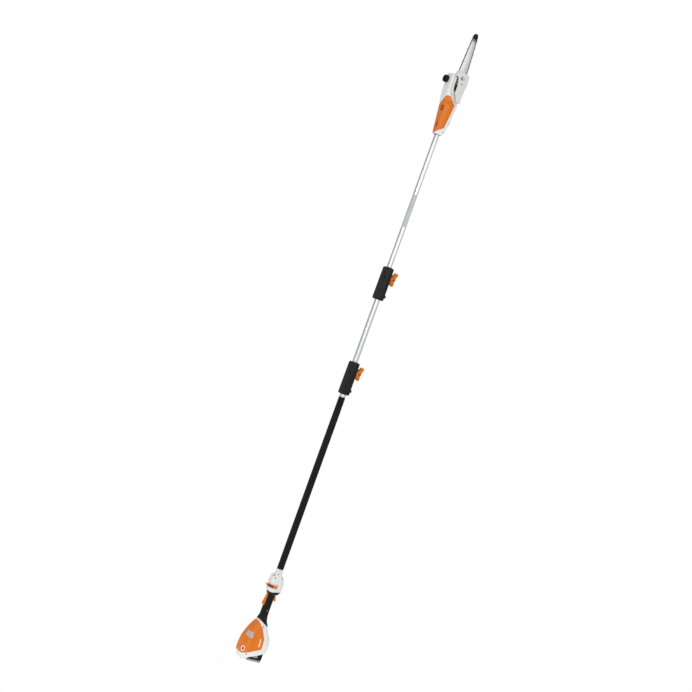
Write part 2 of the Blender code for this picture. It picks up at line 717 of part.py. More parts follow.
def toggle(name, z, stud_end_x):
    """A two-winged hand nut on its stud, turned about an axis along X."""
    bm = bmesh.new()
    outline = (
        (TOGGLE_FACE + 0.006, 0.011),
        (TOGGLE_FACE + 0.012, 0.022),
        (WING_TIP_X - 0.022, TOGGLE_REACH - 0.004),
        (WING_TIP_X - 0.014, TOGGLE_REACH),
        (WING_TIP_X - 0.001, TOGGLE_REACH - 0.001),
        (WING_TIP_X, TOGGLE_REACH - 0.010),
        (WING_TIP_X - 0.006, 0.015),
    )
    mirrored = [(x, -z_out) for x, z_out in reversed(outline)]
    points = list(outline) + mirrored
    face = bm.faces.new([bm.verts.new((x, -WING_HALF_WIDTH, dz)) for x, dz in points])
    made = bmesh.ops.extrude_face_region(bm, geom=[face])
    moved = [v for v in made["geom"] if isinstance(v, bmesh.types.BMVert)]
    bmesh.ops.translate(bm, vec=(0, 2 * WING_HALF_WIDTH, 0), verts=moved)
    bmesh.ops.recalc_face_normals(bm, faces=bm.faces)
    bmesh.ops.bevel(
        bm, geom=bm.edges[:], offset=0.0028, segments=2, profile=0.5, affect="EDGES", material=-1
    )
    wings = finish(name, bm, ORANGE)
    turn = Matrix.Translation((0, 0, z)) @ Matrix.Rotation(math.radians(TOGGLE_TWIST), 4, "X")
    wings.matrix_world = turn
    profile = [
        (0.0, 0.0),
        (STUD_RADIUS, 0.0),
        (STUD_RADIUS, TOGGLE_FACE - stud_end_x),
        (TOGGLE_HUB_RADIUS + 0.002, TOGGLE_FACE - stud_end_x),
        (TOGGLE_HUB_RADIUS, TOGGLE_FACE - stud_end_x + 0.010),
        (TOGGLE_HUB_RADIUS, WING_TIP_X - 0.010 - stud_end_x),
        (0.0, WING_TIP_X - 0.010 - stud_end_x),
    ]
    hub = turned(f"{name}_hub", ORANGE, profile, (stud_end_x, 0, z), (1, 0, 0), 20)
    boolean(wings, hub, "UNION")


# ---------------------------------------------------------------- head shells
# Height above the head's bottom, x_min, x_max, y_min, y_max, corner radius.
HEAD_STATIONS = (
    (0.000, -0.0240, 0.0205, -0.0200, 0.0200, 0.010),
    (0.006, -0.0262, 0.0230, -0.0215, 0.0215, 0.011),
    (0.024, -0.0280, 0.0300, -0.0250, 0.0250, 0.013),
    (0.088, -0.0325, 0.0420, -0.0330, 0.0330, 0.016),
    (0.135, -0.0360, 0.0430, -0.0380, 0.0380, 0.018),
    (0.181, -0.0410, 0.0460, -0.0410, 0.0410, 0.018),
    (0.193, -0.0430, 0.0460, -0.0360, 0.0420, 0.016),
    (0.203, -0.0445, 0.0460, MOUNT_FACE, 0.0430, 0.014),
    (0.250, -0.0495, 0.0430, MOUNT_FACE, 0.0450, 0.013),
    (0.365, -0.0510, 0.0400, MOUNT_FACE, 0.0450, 0.012),
    (0.374, -0.0495, 0.0385, MOUNT_FACE + 0.001, 0.0435, 0.011),
    (HEAD_LENGTH, -0.0460, 0.0350, MOUNT_FACE + 0.003, 0.0400, 0.009),
)
HEAD_SECTIONS = [(HEAD_BOTTOM + h, *rest) for h, *rest in HEAD_STATIONS]
# Planes that bound the orange motor cover, with the direction that points out of it.
MOTOR_COVER_PLANES = (
    ((-0.0270, -0.0380, HEAD_BOTTOM + 0.239), (0.0, 0.703, 0.711)),
    ((-0.0270, -0.0380, HEAD_BOTTOM + 0.239), (0.687, 0.0, 0.727)),
    ((0.0216, 0, HEAD_BOTTOM + 0.193), (0.998, 0, -0.068)),
    ((-0.0240, -0.0220, HEAD_BOTTOM + 0.0187), (0.564, -0.339, -0.752)),
    ((0, 0.030, 0), (0, 1, 0)),
)
TANK_FLOOR = 0.250  # above the head's bottom
TANK_SIDE_X = -0.0255
TOP_SLOPE = 0.23  # the head's top falls towards -X
TOP_SLOPE_FROM = (0.015, HEAD_BOTTOM + 0.340)  # X of the full height, and Z where the slope begins to act


def slope_top(bm):
    high_x, low_z = TOP_SLOPE_FROM
    for v in bm.verts:
        share = max(0.0, v.co.z - low_z) / (HEAD_TOP - low_z)
        v.co.z -= share * TOP_SLOPE * max(0.0, high_x - v.co.x)


def outside_motor_cover(c):
    distances = ((c - Vector(point)).dot(Vector(out).normalized()) for point, out in MOTOR_COVER_PLANES)
    return max(distances)


def motor_cover_cuts(offset):
    cuts = []
    for point, out in MOTOR_COVER_PLANES:
        out = Vector(out).normalized()
        cuts.append((Vector(point) + out * offset, out))
    return cuts


def make_head_shells():
    tank_z = HEAD_BOTTOM + TANK_FLOOR - GAP
    tank_x = TANK_SIDE_X + GAP
    tank_cuts = [((0, 0, tank_z), (0, 0, 1)), ((tank_x, 0, 0), (1, 0, 0))]
    halves(
        "head_shell",
        HEAD_SECTIONS,
        motor_cover_cuts(COVER_GAP / 2) + tank_cuts,
        lambda c: outside_motor_cover(c) > COVER_GAP / 2 and not (c.x < tank_x and c.z > tank_z),
        WHITE,
        cap_top=True,
        reshape=slope_top,
    )
    start, end = (0, MOUNT_FACE - 0.01, SHAFT_Z), (0, MOUNT_FACE + 0.01, SHAFT_Z)
    shaft_hole = rod("sprocket_shaft_hole", WHITE, start, end, 0.0165, 24)
    boolean(bpy.data.objects["head_shell_right"], shaft_hole)
    bm = skin(grown(HEAD_SECTIONS, PROUD))
    cut_faces(bm, motor_cover_cuts(-COVER_GAP / 2), lambda c: outside_motor_cover(c) < -COVER_GAP / 2)
    thicken(finish("motor_cover", bm, ORANGE), WALL)


CAP_Y = 0.021
CAP_Z = HEAD_BOTTOM + 0.325
NECK_RADIUS = 0.0140
CAP_RADIUS = 0.0220
CAP_THICKNESS = 0.020


def make_oil_tank():
    tank_sections = [
        (HEAD_BOTTOM + TANK_FLOOR, *HEAD_STATIONS[8][1:]),
        (HEAD_BOTTOM + 0.365, *HEAD_STATIONS[9][1:]),
        (HEAD_BOTTOM + 0.374, *HEAD_STATIONS[10][1:]),
        (HEAD_TOP, *HEAD_STATIONS[11][1:]),
    ]
    bm = skin(tank_sections, cap_bottom=True, cap_top=True)
    slope_top(bm)
    slice_solid(bm, (TANK_SIDE_X, 0, 0), (1, 0, 0))
    tank = finish("oil_tank", bm, TANK_WHITE)
    inner = solid_block(
        "oil_tank_inside",
        TANK_WHITE,
        (-0.0480, MOUNT_FACE + 0.0035, HEAD_BOTTOM + TANK_FLOOR + 0.003),
        (TANK_SIDE_X - 0.003, 0.0420, HEAD_TOP - 0.026),
        bevel=0.006,
        segments=1,
    )
    boolean(tank, inner)
    start, end = (-0.060, CAP_Y, CAP_Z), (-0.040, CAP_Y, CAP_Z)
    neck = rod("oil_tank_neck", TANK_WHITE, start, end, NECK_RADIUS + GAP, 24)
    boolean(tank, neck)
    plug = 0.005
    profile = [
        (0.0, 0.0),
        (NECK_RADIUS, 0.0),
        (NECK_RADIUS, plug + 0.0006),
        (CAP_RADIUS, plug + 0.0006),
        (CAP_RADIUS, plug + CAP_THICKNESS - 0.003),
        (CAP_RADIUS - 0.003, plug + CAP_THICKNESS),
        (0.0, plug + CAP_THICKNESS),
    ]
    turned("oil_cap", BLACK, profile, (-0.0512 + plug, CAP_Y, CAP_Z), (-1, 0, 0), 24)


# ---------------------------------------------------------------- motor and gears
STATOR_HEIGHTS = (0.126, 0.172)
STATOR_RADIUS = 0.0285
ROTOR_RADIUS = 0.0150
MOTOR_SHAFT_RADIUS = 0.0040
PINION_TEETH = 10
GEAR_TEETH = 20
PINION_PITCH = 0.0100  # pitch radius at the big end
GEAR_PITCH = PINION_PITCH * GEAR_TEETH / PINION_TEETH
FACE_SHARE = 0.36  # face width as a share of the cone distance
ADDENDUM = 0.0011
DEDENDUM = 0.0016


def bevel_wheel(name, teeth, pitch, mate_pitch, bore):
    """A straight bevel gear about +Z with its cone's apex at the origin and its big end at -mate_pitch."""
    cone = math.hypot(pitch, mate_pitch)
    pitch_angle = math.atan2(pitch, mate_pitch)
    bm = bmesh.new()
    rings = []
    for share in (1.0, 1.0 - FACE_SHARE):
        verts = []
        for i in range(teeth):
            for radial, turn in ((-DEDENDUM, -0.36), (ADDENDUM, -0.13), (ADDENDUM, 0.13), (-DEDENDUM, 0.36)):
                angle = math.tau * (i + turn) / teeth
                tilt = pitch_angle + radial * share / (cone * share)
                reach = cone * share
                r = reach * math.sin(tilt)
                z = -reach * math.cos(tilt)
                verts.append(bm.verts.new((r * math.cos(angle), r * math.sin(angle), z)))
        rings.append(verts)
    back = -mate_pitch - 0.0030
    front = -mate_pitch * (1.0 - FACE_SHARE) + 0.0002
    count = teeth * 4
    for radius, z in ((bore, front), (bore, back), (pitch * 0.88, back)):
        verts = []
        for i in range(count):
            angle = math.tau * (i / count - 0.36 / teeth)
            verts.append(bm.verts.new((radius * math.cos(angle), radius * math.sin(angle), z)))
        rings.append(verts)
    loft(bm, rings, closed=True)
    bmesh.ops.recalc_face_normals(bm, faces=bm.faces)
    return finish(name, bm, DARK_STEEL, 20)


def make_motor():
    low, high = (HEAD_BOTTOM + h for h in STATOR_HEIGHTS)
    ring("motor_stator", COPPER, (0, 0, low), (0, 0, high), STATOR_RADIUS, ROTOR_RADIUS + 0.0008, 32)
    shaft_low = HEAD_BOTTOM + 0.108
    pinion_back = SHAFT_Z - GEAR_PITCH - 0.0030
    profile = [
        (0.0, shaft_low),
        (MOTOR_SHAFT_RADIUS, shaft_low),
        (MOTOR_SHAFT_RADIUS, low + 0.002),
        (ROTOR_RADIUS, low + 0.002),
        (ROTOR_RADIUS, high - 0.002),
        (MOTOR_SHAFT_RADIUS, high - 0.002),
        (MOTOR_SHAFT_RADIUS, pinion_back + 0.008),
        (0.0, pinion_back + 0.008),
    ]
    turned("motor_rotor", DARK_STEEL, profile, (0, 0, 0), (0, 0, 1), 24)
    for name, z in (("rear_bearing", HEAD_BOTTOM + 0.110), ("front_bearing", HEAD_BOTTOM + 0.182)):
        ring(name, BAR_STEEL, (0, 0, z), (0, 0, z + 0.007), 0.011, MOTOR_SHAFT_RADIUS + GAP, 20)
    bore = MOTOR_SHAFT_RADIUS + GAP
    pinion = bevel_wheel("bevel_pinion", PINION_TEETH, PINION_PITCH, GEAR_PITCH, bore)
    pinion.matrix_world = Matrix.Translation((0, 0, SHAFT_Z))


SHAFT_RADIUS = 0.0050
SPROCKET_TEETH = 8
SPROCKET_TIP = 0.0165
SPROCKET_ROOT = 0.0125
SPROCKET_THICKNESS = 0.008


def make_sprocket_drive():
    gear = bevel_wheel("bevel_gear", GEAR_TEETH, GEAR_PITCH, PINION_PITCH, SHAFT_RADIUS + GAP)
    # The gear's +Z axis becomes +Y, and its local +Y becomes -Z, towards the pinion.
    gear.matrix_world = Matrix.Translation((0, 0, SHAFT_Z)) @ Matrix.Rotation(math.radians(-90), 4, "X")
    rod("sprocket_shaft", DARK_STEEL, (0, BAR_PLANE - 0.008, SHAFT_Z), (0, 0.030, SHAFT_Z), SHAFT_RADIUS, 16)
    bore = SHAFT_RADIUS + GAP
    ring("shaft_bearing", BAR_STEEL, (0, -0.0290, SHAFT_Z), (0, -0.0190, SHAFT_Z), 0.0150, bore, 24)
    ring("oil_pump", GREY, (0, 0.0240, SHAFT_Z), (0, 0.0400, SHAFT_Z), 0.0140, bore, 20)
    bm = bmesh.new()
    tooth = ((SPROCKET_ROOT, -0.30), (SPROCKET_TIP, -0.12), (SPROCKET_TIP, 0.12), (SPROCKET_ROOT, 0.30))
    points = []
    for i in range(SPROCKET_TEETH):
        points += [(radius, math.tau * (i + turn) / SPROCKET_TEETH) for radius, turn in tooth]
    hole = [(SHAFT_RADIUS + GAP, angle) for _, angle in points]
    half = SPROCKET_THICKNESS / 2
    rings = []
    for outline, y in ((points, -half), (points, half), (hole, half), (hole, -half)):
        rings.append([bm.verts.new((r * math.cos(a), BAR_PLANE + y, r * math.sin(a))) for r, a in outline])
    loft(bm, rings, closed=True)
    bmesh.ops.recalc_face_normals(bm, faces=bm.faces)
    sprocket = finish("drive_sprocket", bm, DARK_STEEL, 20)
    sprocket.location.z = SHAFT_Z


# ---------------------------------------------------------------- guide bar, chain and sprocket cover
BAR_HALF_THICKNESS = 0.0016
NOSE_RADIUS = 0.0100
CHAIN_HEIGHT = 0.0065
CHAIN_HALF_WIDTH = 0.0030
BAR_TAIL = SHAFT_Z + 0.030
TIP_Z = HEAD_TOP + BAR_REACH
NOSE_Z = TIP_Z - CHAIN_HEIGHT - GAP - NOSE_RADIUS
# Distance below the centre of the nose, and the bar's half width there.
BAR_WIDTHS = (
    (0.018, 0.0120),
    (0.047, 0.0144),
    (0.106, 0.0184),
    (0.164, 0.0218),
    (0.222, 0.0243),
    (0.262, 0.0243),
)
STUD_Z = SHAFT_Z + 0.056
BAR_STUD_RADIUS = 0.0040


def bar_edge(offset):
    """One side of the bar's outline, from the tip down to the tail, pushed out by offset."""
    points = []
    for i in range(5):
        angle = math.radians(90 - 19 * i)
        radius = NOSE_RADIUS + offset
        points.append((radius * math.cos(angle), NOSE_Z + radius * math.sin(angle)))
    points += [(half + offset, NOSE_Z - below) for below, half in BAR_WIDTHS]
    return points


def loop_edge(offset, wrap_radius):
    """One side of the chain's path, from the tip to the far side of the drive sprocket."""
    points = bar_edge(offset)
    for i in range(6):
        angle = math.radians(15 - 21 * i)
        points.append((wrap_radius * math.cos(angle), SHAFT_Z + wrap_radius * math.sin(angle)))
    return points


def mirrored_loop(points):
    """A closed outline from one side's points, whose first and last lie on the middle line."""
    return points + [(-x, z) for x, z in reversed(points[1:-1])]


def make_bar_and_chain():
    tail = bar_edge(0.0) + [(0.0215, BAR_TAIL + 0.006), (0.0130, BAR_TAIL)]
    outline = tail + [(-x, z) for x, z in reversed(tail[1:])]
    low, high = BAR_PLANE - BAR_HALF_THICKNESS, BAR_PLANE + BAR_HALF_THICKNESS
    bar = side_profile("guide_bar", BAR_STEEL, outline, low, high)
    nose_low = (-0.03, BAR_PLANE - 0.0009, NOSE_Z - 0.0105)
    boolean(bar, solid_block("nose_slot", BAR_STEEL, nose_low, (0.03, BAR_PLANE + 0.0009, TIP_Z)))
    slot_half = BAR_STUD_RADIUS + 0.0005
    slot_low, slot_high = (-slot_half, low - 0.01, BAR_TAIL - 0.01), (slot_half, high + 0.01, STUD_Z + 0.012)
    boolean(bar, solid_block("stud_slot", BAR_STEEL, slot_low, slot_high))
    ring(
        "nose_sprocket",
        DARK_STEEL,
        (0, BAR_PLANE - 0.0005, NOSE_Z),
        (0, BAR_PLANE + 0.0005, NOSE_Z),
        NOSE_RADIUS - 0.0020,
        0.0020,
        16,
    )
    inner_wrap = SPROCKET_TIP + 2 * GAP
    outer_wrap = inner_wrap + CHAIN_HEIGHT
    inner = mirrored_loop(loop_edge(GAP, inner_wrap)[:-1] + [(0.0, SHAFT_Z - inner_wrap)])
    outer = mirrored_loop(loop_edge(GAP + CHAIN_HEIGHT, outer_wrap)[:-1] + [(0.0, SHAFT_Z - outer_wrap)])
    bm = bmesh.new()
    rings = []
    for outline, y in (
        (inner, BAR_PLANE - CHAIN_HALF_WIDTH),
        (outer, BAR_PLANE - CHAIN_HALF_WIDTH),
        (outer, BAR_PLANE + CHAIN_HALF_WIDTH),
        (inner, BAR_PLANE + CHAIN_HALF_WIDTH),
    ):
        rings.append([bm.verts.new((x, y, z)) for x, z in outline])
    loft(bm, rings, closed=True)
    bmesh.ops.recalc_face_normals(bm, faces=bm.faces)
    finish("saw_chain", bm, DARK_STEEL)


COVER_FACE = -0.056  # Y of the cover's outer face
COVER_WALL = 0.0024
NUT_RADIUS = 0.0085
TENSION_SCREW = (0.010, SHAFT_Z + 0.0245)
TENSION_RADIUS = 0.0045
# The cover's outline in X and height above the head's bottom, from the top left round to the window's top.
COVER_OUTLINE = (
    (-0.038, 0.384),
    (0.000, 0.388),
    (0.042, 0.379),
    (0.048, 0.330),
    (0.041, 0.270),
    (0.038, 0.240),
    (0.044, 0.214),
    (0.036, 0.205),
    (0.022, 0.206),
    (0.004, 0.230),
    (-0.014, 0.258),
    (-0.014, 0.346),
    (-0.038, 0.354),
)
OPEN_SIDES = (0, 1, 10, 11)  # sides of that outline with no wall: the bar's way out and the window


def make_sprocket_cover():
    bm = bmesh.new()
    verts = [bm.verts.new((x, COVER_FACE, HEAD_BOTTOM + h)) for x, h in COVER_OUTLINE]
    bm.faces.new(verts)
    sides = [bm.edges.get((a, b)) for a, b in zip(verts, verts[1:] + verts[:1])]
    walls = [side for i, side in enumerate(sides) if i not in OPEN_SIDES]
    made = bmesh.ops.extrude_edge_only(bm, edges=walls)
    moved = [v for v in made["geom"] if isinstance(v, bmesh.types.BMVert)]
    bmesh.ops.translate(bm, vec=(0, MOUNT_FACE - GAP - COVER_FACE, 0), verts=moved)
    bmesh.ops.recalc_face_normals(bm, faces=bm.faces)
    if bm.faces[0].normal.y > 0:
        bmesh.ops.reverse_faces(bm, faces=bm.faces)
    rims = [e for e in bm.edges if len(e.link_faces) == 2 and e.verts[0].co.y == e.verts[1].co.y]
    bmesh.ops.bevel(bm, geom=rims, offset=0.004, segments=2, profile=0.5, affect="EDGES", material=-1)
    cover = thicken(finish("sprocket_cover", bm, PALE_GREY), COVER_WALL)
    for name, x, z, radius in (
        ("cover_stud_hole", 0.0, STUD_Z, BAR_STUD_RADIUS + 0.001),
        ("cover_screw_hole", *TENSION_SCREW, TENSION_RADIUS + 0.001),
    ):
        start, end = (x, COVER_FACE - 0.005, z), (x, COVER_FACE + 0.008, z)
        boolean(cover, rod(name, PALE_GREY, start, end, radius, 16))
    start, end = (0, COVER_FACE - 0.010, STUD_Z), (0, MOUNT_FACE - GAP, STUD_Z)
    rod("bar_stud", BAR_STEEL, start, end, BAR_STUD_RADIUS, 16)
    thread = (BAR_STUD_RADIUS + GAP) / math.cos(math.pi / 6)  # the hexagonal bore's corners
    turned(
        "bar_nut",
        DARK_STEEL,
        [
            (thread, 0.0),
            (NUT_RADIUS + 0.002, 0.0),
            (NUT_RADIUS + 0.002, 0.0015),
            (NUT_RADIUS, 0.0018),
            (NUT_RADIUS, 0.0080),
            (thread, 0.0080),
        ],
        (0, COVER_FACE - GAP, STUD_Z),
        (0, -1, 0),
        6,
    )
    x, z = TENSION_SCREW
    rod("tension_screw", BAR_STEEL, (x, COVER_FACE - 0.001, z), (x, MOUNT_FACE - GAP, z), TENSION_RADIUS, 16)


clear_scene()
make_base()
make_battery()
make_grip()
make_levers()
make_control_housing()
make_unlock_slider()
make_tubes()
make_leads()
clamp_body("lower", LOWER_CLAMP, LOWER_HALF, MID_HALF)
clamp_body("upper", UPPER_CLAMP, MID_HALF, TOP_HALF)
make_head_shells()
make_oil_tank()
make_motor()
make_sprocket_drive()
make_bar_and_chain()
make_sprocket_cover()
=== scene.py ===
import math

import bmesh
import bpy
from mathutils import Matrix, Vector


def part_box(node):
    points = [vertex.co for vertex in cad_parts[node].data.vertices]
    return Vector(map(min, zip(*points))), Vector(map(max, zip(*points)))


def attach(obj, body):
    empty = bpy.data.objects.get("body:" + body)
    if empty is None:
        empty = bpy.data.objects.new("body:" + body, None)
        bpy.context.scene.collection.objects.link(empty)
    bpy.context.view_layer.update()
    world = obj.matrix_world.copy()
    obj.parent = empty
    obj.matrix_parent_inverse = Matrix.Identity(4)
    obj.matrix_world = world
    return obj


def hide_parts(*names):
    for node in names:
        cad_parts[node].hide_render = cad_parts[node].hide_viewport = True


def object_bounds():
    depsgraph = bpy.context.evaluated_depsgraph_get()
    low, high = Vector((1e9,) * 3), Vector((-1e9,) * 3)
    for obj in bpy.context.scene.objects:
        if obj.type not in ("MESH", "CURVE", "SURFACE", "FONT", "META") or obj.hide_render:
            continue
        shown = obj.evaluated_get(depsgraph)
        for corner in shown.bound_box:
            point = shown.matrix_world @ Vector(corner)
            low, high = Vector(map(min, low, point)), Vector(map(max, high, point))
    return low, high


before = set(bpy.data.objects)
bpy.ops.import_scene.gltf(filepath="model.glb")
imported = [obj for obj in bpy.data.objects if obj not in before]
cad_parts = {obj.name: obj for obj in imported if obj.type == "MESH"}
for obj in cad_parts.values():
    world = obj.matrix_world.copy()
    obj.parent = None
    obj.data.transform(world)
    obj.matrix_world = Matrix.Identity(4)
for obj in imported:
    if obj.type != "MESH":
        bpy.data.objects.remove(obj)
cad_low, cad_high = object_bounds()

# ---- Camera: a long lens from the tool's right-hand side and a little in front of its top,
# rolled so that the upright shaft lies on the picture's diagonal.
AZIMUTH, ROLL = math.radians(-30), math.radians(19.86)
DISTANCE = 9.558
back = Vector((math.sin(AZIMUTH), -math.cos(AZIMUTH), 0))
level = Vector((math.cos(AZIMUTH), math.sin(AZIMUTH), 0))
upright = back.cross(level)
right = level * math.cos(ROLL) + upright * math.sin(ROLL)
up = upright * math.cos(ROLL) - level * math.sin(ROLL)
aim = Vector((0, 0, 1.5876)) - level * 0.0806
camera_data = bpy.data.cameras.new("camera")
camera_data.lens = 85
camera_data.clip_end = 100
camera = bpy.data.objects.new("camera", camera_data)
bpy.context.scene.collection.objects.link(camera)
turn = Matrix((right, up, back)).transposed().to_4x4()
camera.matrix_world = Matrix.Translation(aim + back * DISTANCE) @ turn
bpy.context.scene.camera = camera
bpy.context.scene.view_settings.view_transform = "Standard"


# ---- Studio: a white surround that the camera sees at full white and that lights the tool more
# softly, with a tall softbox on the bar side, a weaker one on the lever side and one behind.
def add_node(tree, kind, settings=None, **inputs):
    """One node with its settings, and its sockets set or linked; an underscore stands for a space."""
    node = tree.nodes.new("ShaderNode" + kind)
    for key, value in (settings or {}).items():
        setattr(node, key, value)
    for key, value in inputs.items():
        socket = node.inputs[key.replace("_", " ")]
        if isinstance(value, bpy.types.NodeSocket):
            tree.links.new(value, socket)
        else:
            socket.default_value = value
    return node


def linear(code):
    """An sRGB hex colour as linear RGBA."""
    shares = [int(code[i : i + 2], 16) / 255 for i in (1, 3, 5)]
    return (*[c / 12.92 if c <= 0.04045 else ((c + 0.055) / 1.055) ** 2.4 for c in shares], 1.0)


SURROUND_LIGHT = 0.52
world = bpy.data.worlds.new("studio")
bpy.context.scene.world = world
world.use_nodes = True
tree = world.node_tree
tree.nodes.clear()
seen = add_node(tree, "Background", Color=linear("#FFFFFF"), Strength=1.0)
lit = add_node(tree, "Background", Color=linear("#FFFFFF"), Strength=SURROUND_LIGHT)
rays = add_node(tree, "LightPath")
chosen = add_node(tree, "MixShader", Fac=rays.outputs["Is Camera Ray"])
tree.links.new(lit.outputs[0], chosen.inputs[1])
tree.links.new(seen.outputs[0], chosen.inputs[2])
add_node(tree, "OutputWorld", Surface=chosen.outputs[0])

# Name, azimuth and height of each softbox, its distance, width, length and power.
for name, azimuth, height, distance, width, length, power in (
    ("bar_side_softbox", 12, 3.4, 6.0, 2.4, 3.6, 108),
    ("lever_side_softbox", -80, 2.2, 6.0, 1.6, 4.0, 66),
    ("edge_softbox", -56, 2.0, 5.0, 0.4, 4.4, 42),
    ("rear_softbox", 150, 3.0, 6.0, 2.4, 3.6, 110),
):
    softbox = bpy.data.lights.new(name, "AREA")
    softbox.shape = "RECTANGLE"
    softbox.size, softbox.size_y = width, length
    softbox.energy = power
    lamp = bpy.data.objects.new(name, softbox)
    angle = math.radians(azimuth)
    place = Vector((math.sin(angle) * distance, -math.cos(angle) * distance, height))
    facing = (Vector((0, 0, 1.6)) - place).to_track_quat("-Z", "Y").to_matrix().to_4x4()
    lamp.matrix_world = Matrix.Translation(place) @ facing
    bpy.context.scene.collection.objects.link(lamp)

# ---- Floor: a round pale studio floor, painted matt white, that fades into the surround.
# It lies lower than the battery's travel, since the tool is held by its grip.
FLOOR_DROP, FLOOR_RADIUS = 0.092, 1.5
bm = bmesh.new()
bmesh.ops.create_circle(bm, cap_ends=True, segments=96, radius=FLOOR_RADIUS)
bmesh.ops.translate(bm, vec=(0, 0, cad_low.z - FLOOR_DROP), verts=bm.verts)
mesh = bpy.data.meshes.new("floor")
bm.to_mesh(mesh)
bm.free()
paint = bpy.data.materials.new("matt_floor_paint")
paint.use_nodes = True
tree = paint.node_tree
tree.nodes.clear()
coords = add_node(tree, "TexCoord")
centred = add_node(tree, "Mapping", Vector=coords.outputs["Object"], Scale=(0.8, 0.8, 0.0))
fade = add_node(tree, "TexGradient", {"gradient_type": "SPHERICAL"}, Vector=centred.outputs[0])
eased = add_node(
    tree, "MapRange", {"interpolation_type": "SMOOTHSTEP"}, Value=fade.outputs["Fac"], From_Max=0.7
)
diffuse = add_node(tree, "BsdfDiffuse", Color=linear("#E4E4E4"))
glow = add_node(tree, "Emission", Color=linear("#FFFFFF"), Strength=0.42)
surface = add_node(tree, "AddShader")
tree.links.new(diffuse.outputs[0], surface.inputs[0])
tree.links.new(glow.outputs[0], surface.inputs[1])
clear = add_node(tree, "BsdfTransparent")
shown = add_node(tree, "MixShader", Fac=eased.outputs[0])
tree.links.new(clear.outputs[0], shown.inputs[1])
tree.links.new(surface.outputs[0], shown.inputs[2])
add_node(tree, "OutputMaterial", Surface=shown.outputs[0])
mesh.materials.append(paint)
floor = bpy.data.objects.new("floor", mesh)
bpy.context.scene.collection.objects.link(floor)


# ---- Base housing: two white ABS half shells that hold the battery and the motor controller,
# moulded with a fine spark-eroded grain and screwed together from both sides.
def principled(name, **inputs):
    """A new material and its tree, with the values of a Principled shader."""
    made = bpy.data.materials.new(name)
    made.use_nodes = True
    shader = made.node_tree.nodes["Principled BSDF"]
    for key, value in inputs.items():
        shader.inputs[key.replace("_", " ")].default_value = value
    return made, made.node_tree, shader


def moulded(name, colour, shade, roughness, grain=0.9, depth=0.02, ior=1.54, sheen=0.0, specular=0.5):
    """Moulded plastic: grain and depth are the size and height of its eroded texture in millimetres."""
    made, tree, shader = principled(name, IOR=ior, Sheen_Weight=sheen, Specular_IOR_Level=specular)
    where = add_node(tree, "TexCoord").outputs["Object"]
    flow = add_node(tree, "TexNoise", Vector=where, Scale=1000 / 60, Detail=3.0)
    tint = add_node(tree, "MixRGB", Fac=flow.outputs["Fac"], Color1=linear(colour), Color2=linear(shade))
    fine = add_node(tree, "TexNoise", Vector=where, Scale=1000 / grain, Detail=2.0, Roughness=0.6)
    scuff = add_node(tree, "TexNoise", Vector=where, Scale=1000 / 9, Detail=4.0)
    rough = add_node(
        tree,
        "MapRange",
        Value=scuff.outputs["Fac"],
        From_Min=0.3,
        From_Max=0.7,
        To_Min=roughness - 0.05,
        To_Max=roughness + 0.07,
    )
    bump = add_node(tree, "Bump", Height=fine.outputs["Fac"], Strength=0.6, Distance=depth / 1000)
    tree.links.new(tint.outputs[0], shader.inputs["Base Color"])
    tree.links.new(rough.outputs[0], shader.inputs["Roughness"])
    tree.links.new(bump.outputs[0], shader.inputs["Normal"])
    return made


def smoothed(stations, per_gap):
    """The same stations with more between them, on curves that don't overshoot."""
    slopes = []
    for i, here in enumerate(stations):
        before, after = stations[max(i - 1, 0)], stations[min(i + 1, len(stations) - 1)]
        into = [(b - a) / max(here[0] - before[0], 1e-9) for a, b in zip(before, here)]
        out = [(b - a) / max(after[0] - here[0], 1e-9) for a, b in zip(here, after)]
        if here is before:
            slopes.append(out)
        elif here is after:
            slopes.append(into)
        else:
            slopes.append([2 * a * b / (a + b) if a * b > 0 else 0.0 for a, b in zip(into, out)])
    made = [stations[0]]
    for low, high, m0, m1 in zip(stations, stations[1:], slopes, slopes[1:]):
        gap = high[0] - low[0]
        for i in range(1, per_gap + 1):
            t = i / per_gap
            a, b = 2 * t**3 - 3 * t**2 + 1, t**3 - 2 * t**2 + t
            c, d = 3 * t**2 - 2 * t**3, t**3 - t**2
            made.append([a * p + b * gap * u + c * q + d * gap * v for p, q, u, v in zip(low, high, m0, m1)])
            made[-1][0] = low[0] + gap * t
    return made


def loft(stations, steps=9, per_gap=4, cap_low=False, cap_high=False):
    """A skin drawn up through rounded rectangles (height, x low, x high, y low, y high, corner)."""
    bm = bmesh.new()
    half_step = Matrix.Rotation(math.pi / (4 * steps), 4, "Z")
    made = bmesh.ops.create_circle(bm, segments=4 * steps, radius=1.0, matrix=half_step)
    ring = {v: v.co.copy() for v in made["verts"]}
    edges = bm.edges[:]
    for station in smoothed(stations, per_gap):
        if ring is None:
            made = bmesh.ops.extrude_edge_only(bm, edges=edges)
            fresh = [g for g in made["geom"] if isinstance(g, bmesh.types.BMVert)]
            ring = {}
            for v in fresh:
                partner = next(e.other_vert(v) for e in v.link_edges if e.other_vert(v) in last)
                ring[v] = last[partner]
            edges = [
                g
                for g in made["geom"]
                if isinstance(g, bmesh.types.BMEdge) and all(v in ring for v in g.verts)
            ]
        z, x_low, x_high, y_low, y_high, corner = station
        for v, way in ring.items():
            x = x_high - corner if way.x > 0 else x_low + corner
            y = y_high - corner if way.y > 0 else y_low + corner
            v.co = (x + corner * way.x, y + corner * way.y, z)
        if cap_low and z == stations[0][0]:
            bmesh.ops.contextual_create(bm, geom=edges)
        last, ring = ring, None
    if cap_high:
        bmesh.ops.contextual_create(bm, geom=edges)
    bmesh.ops.recalc_face_normals(bm, faces=bm.faces)
    return bm


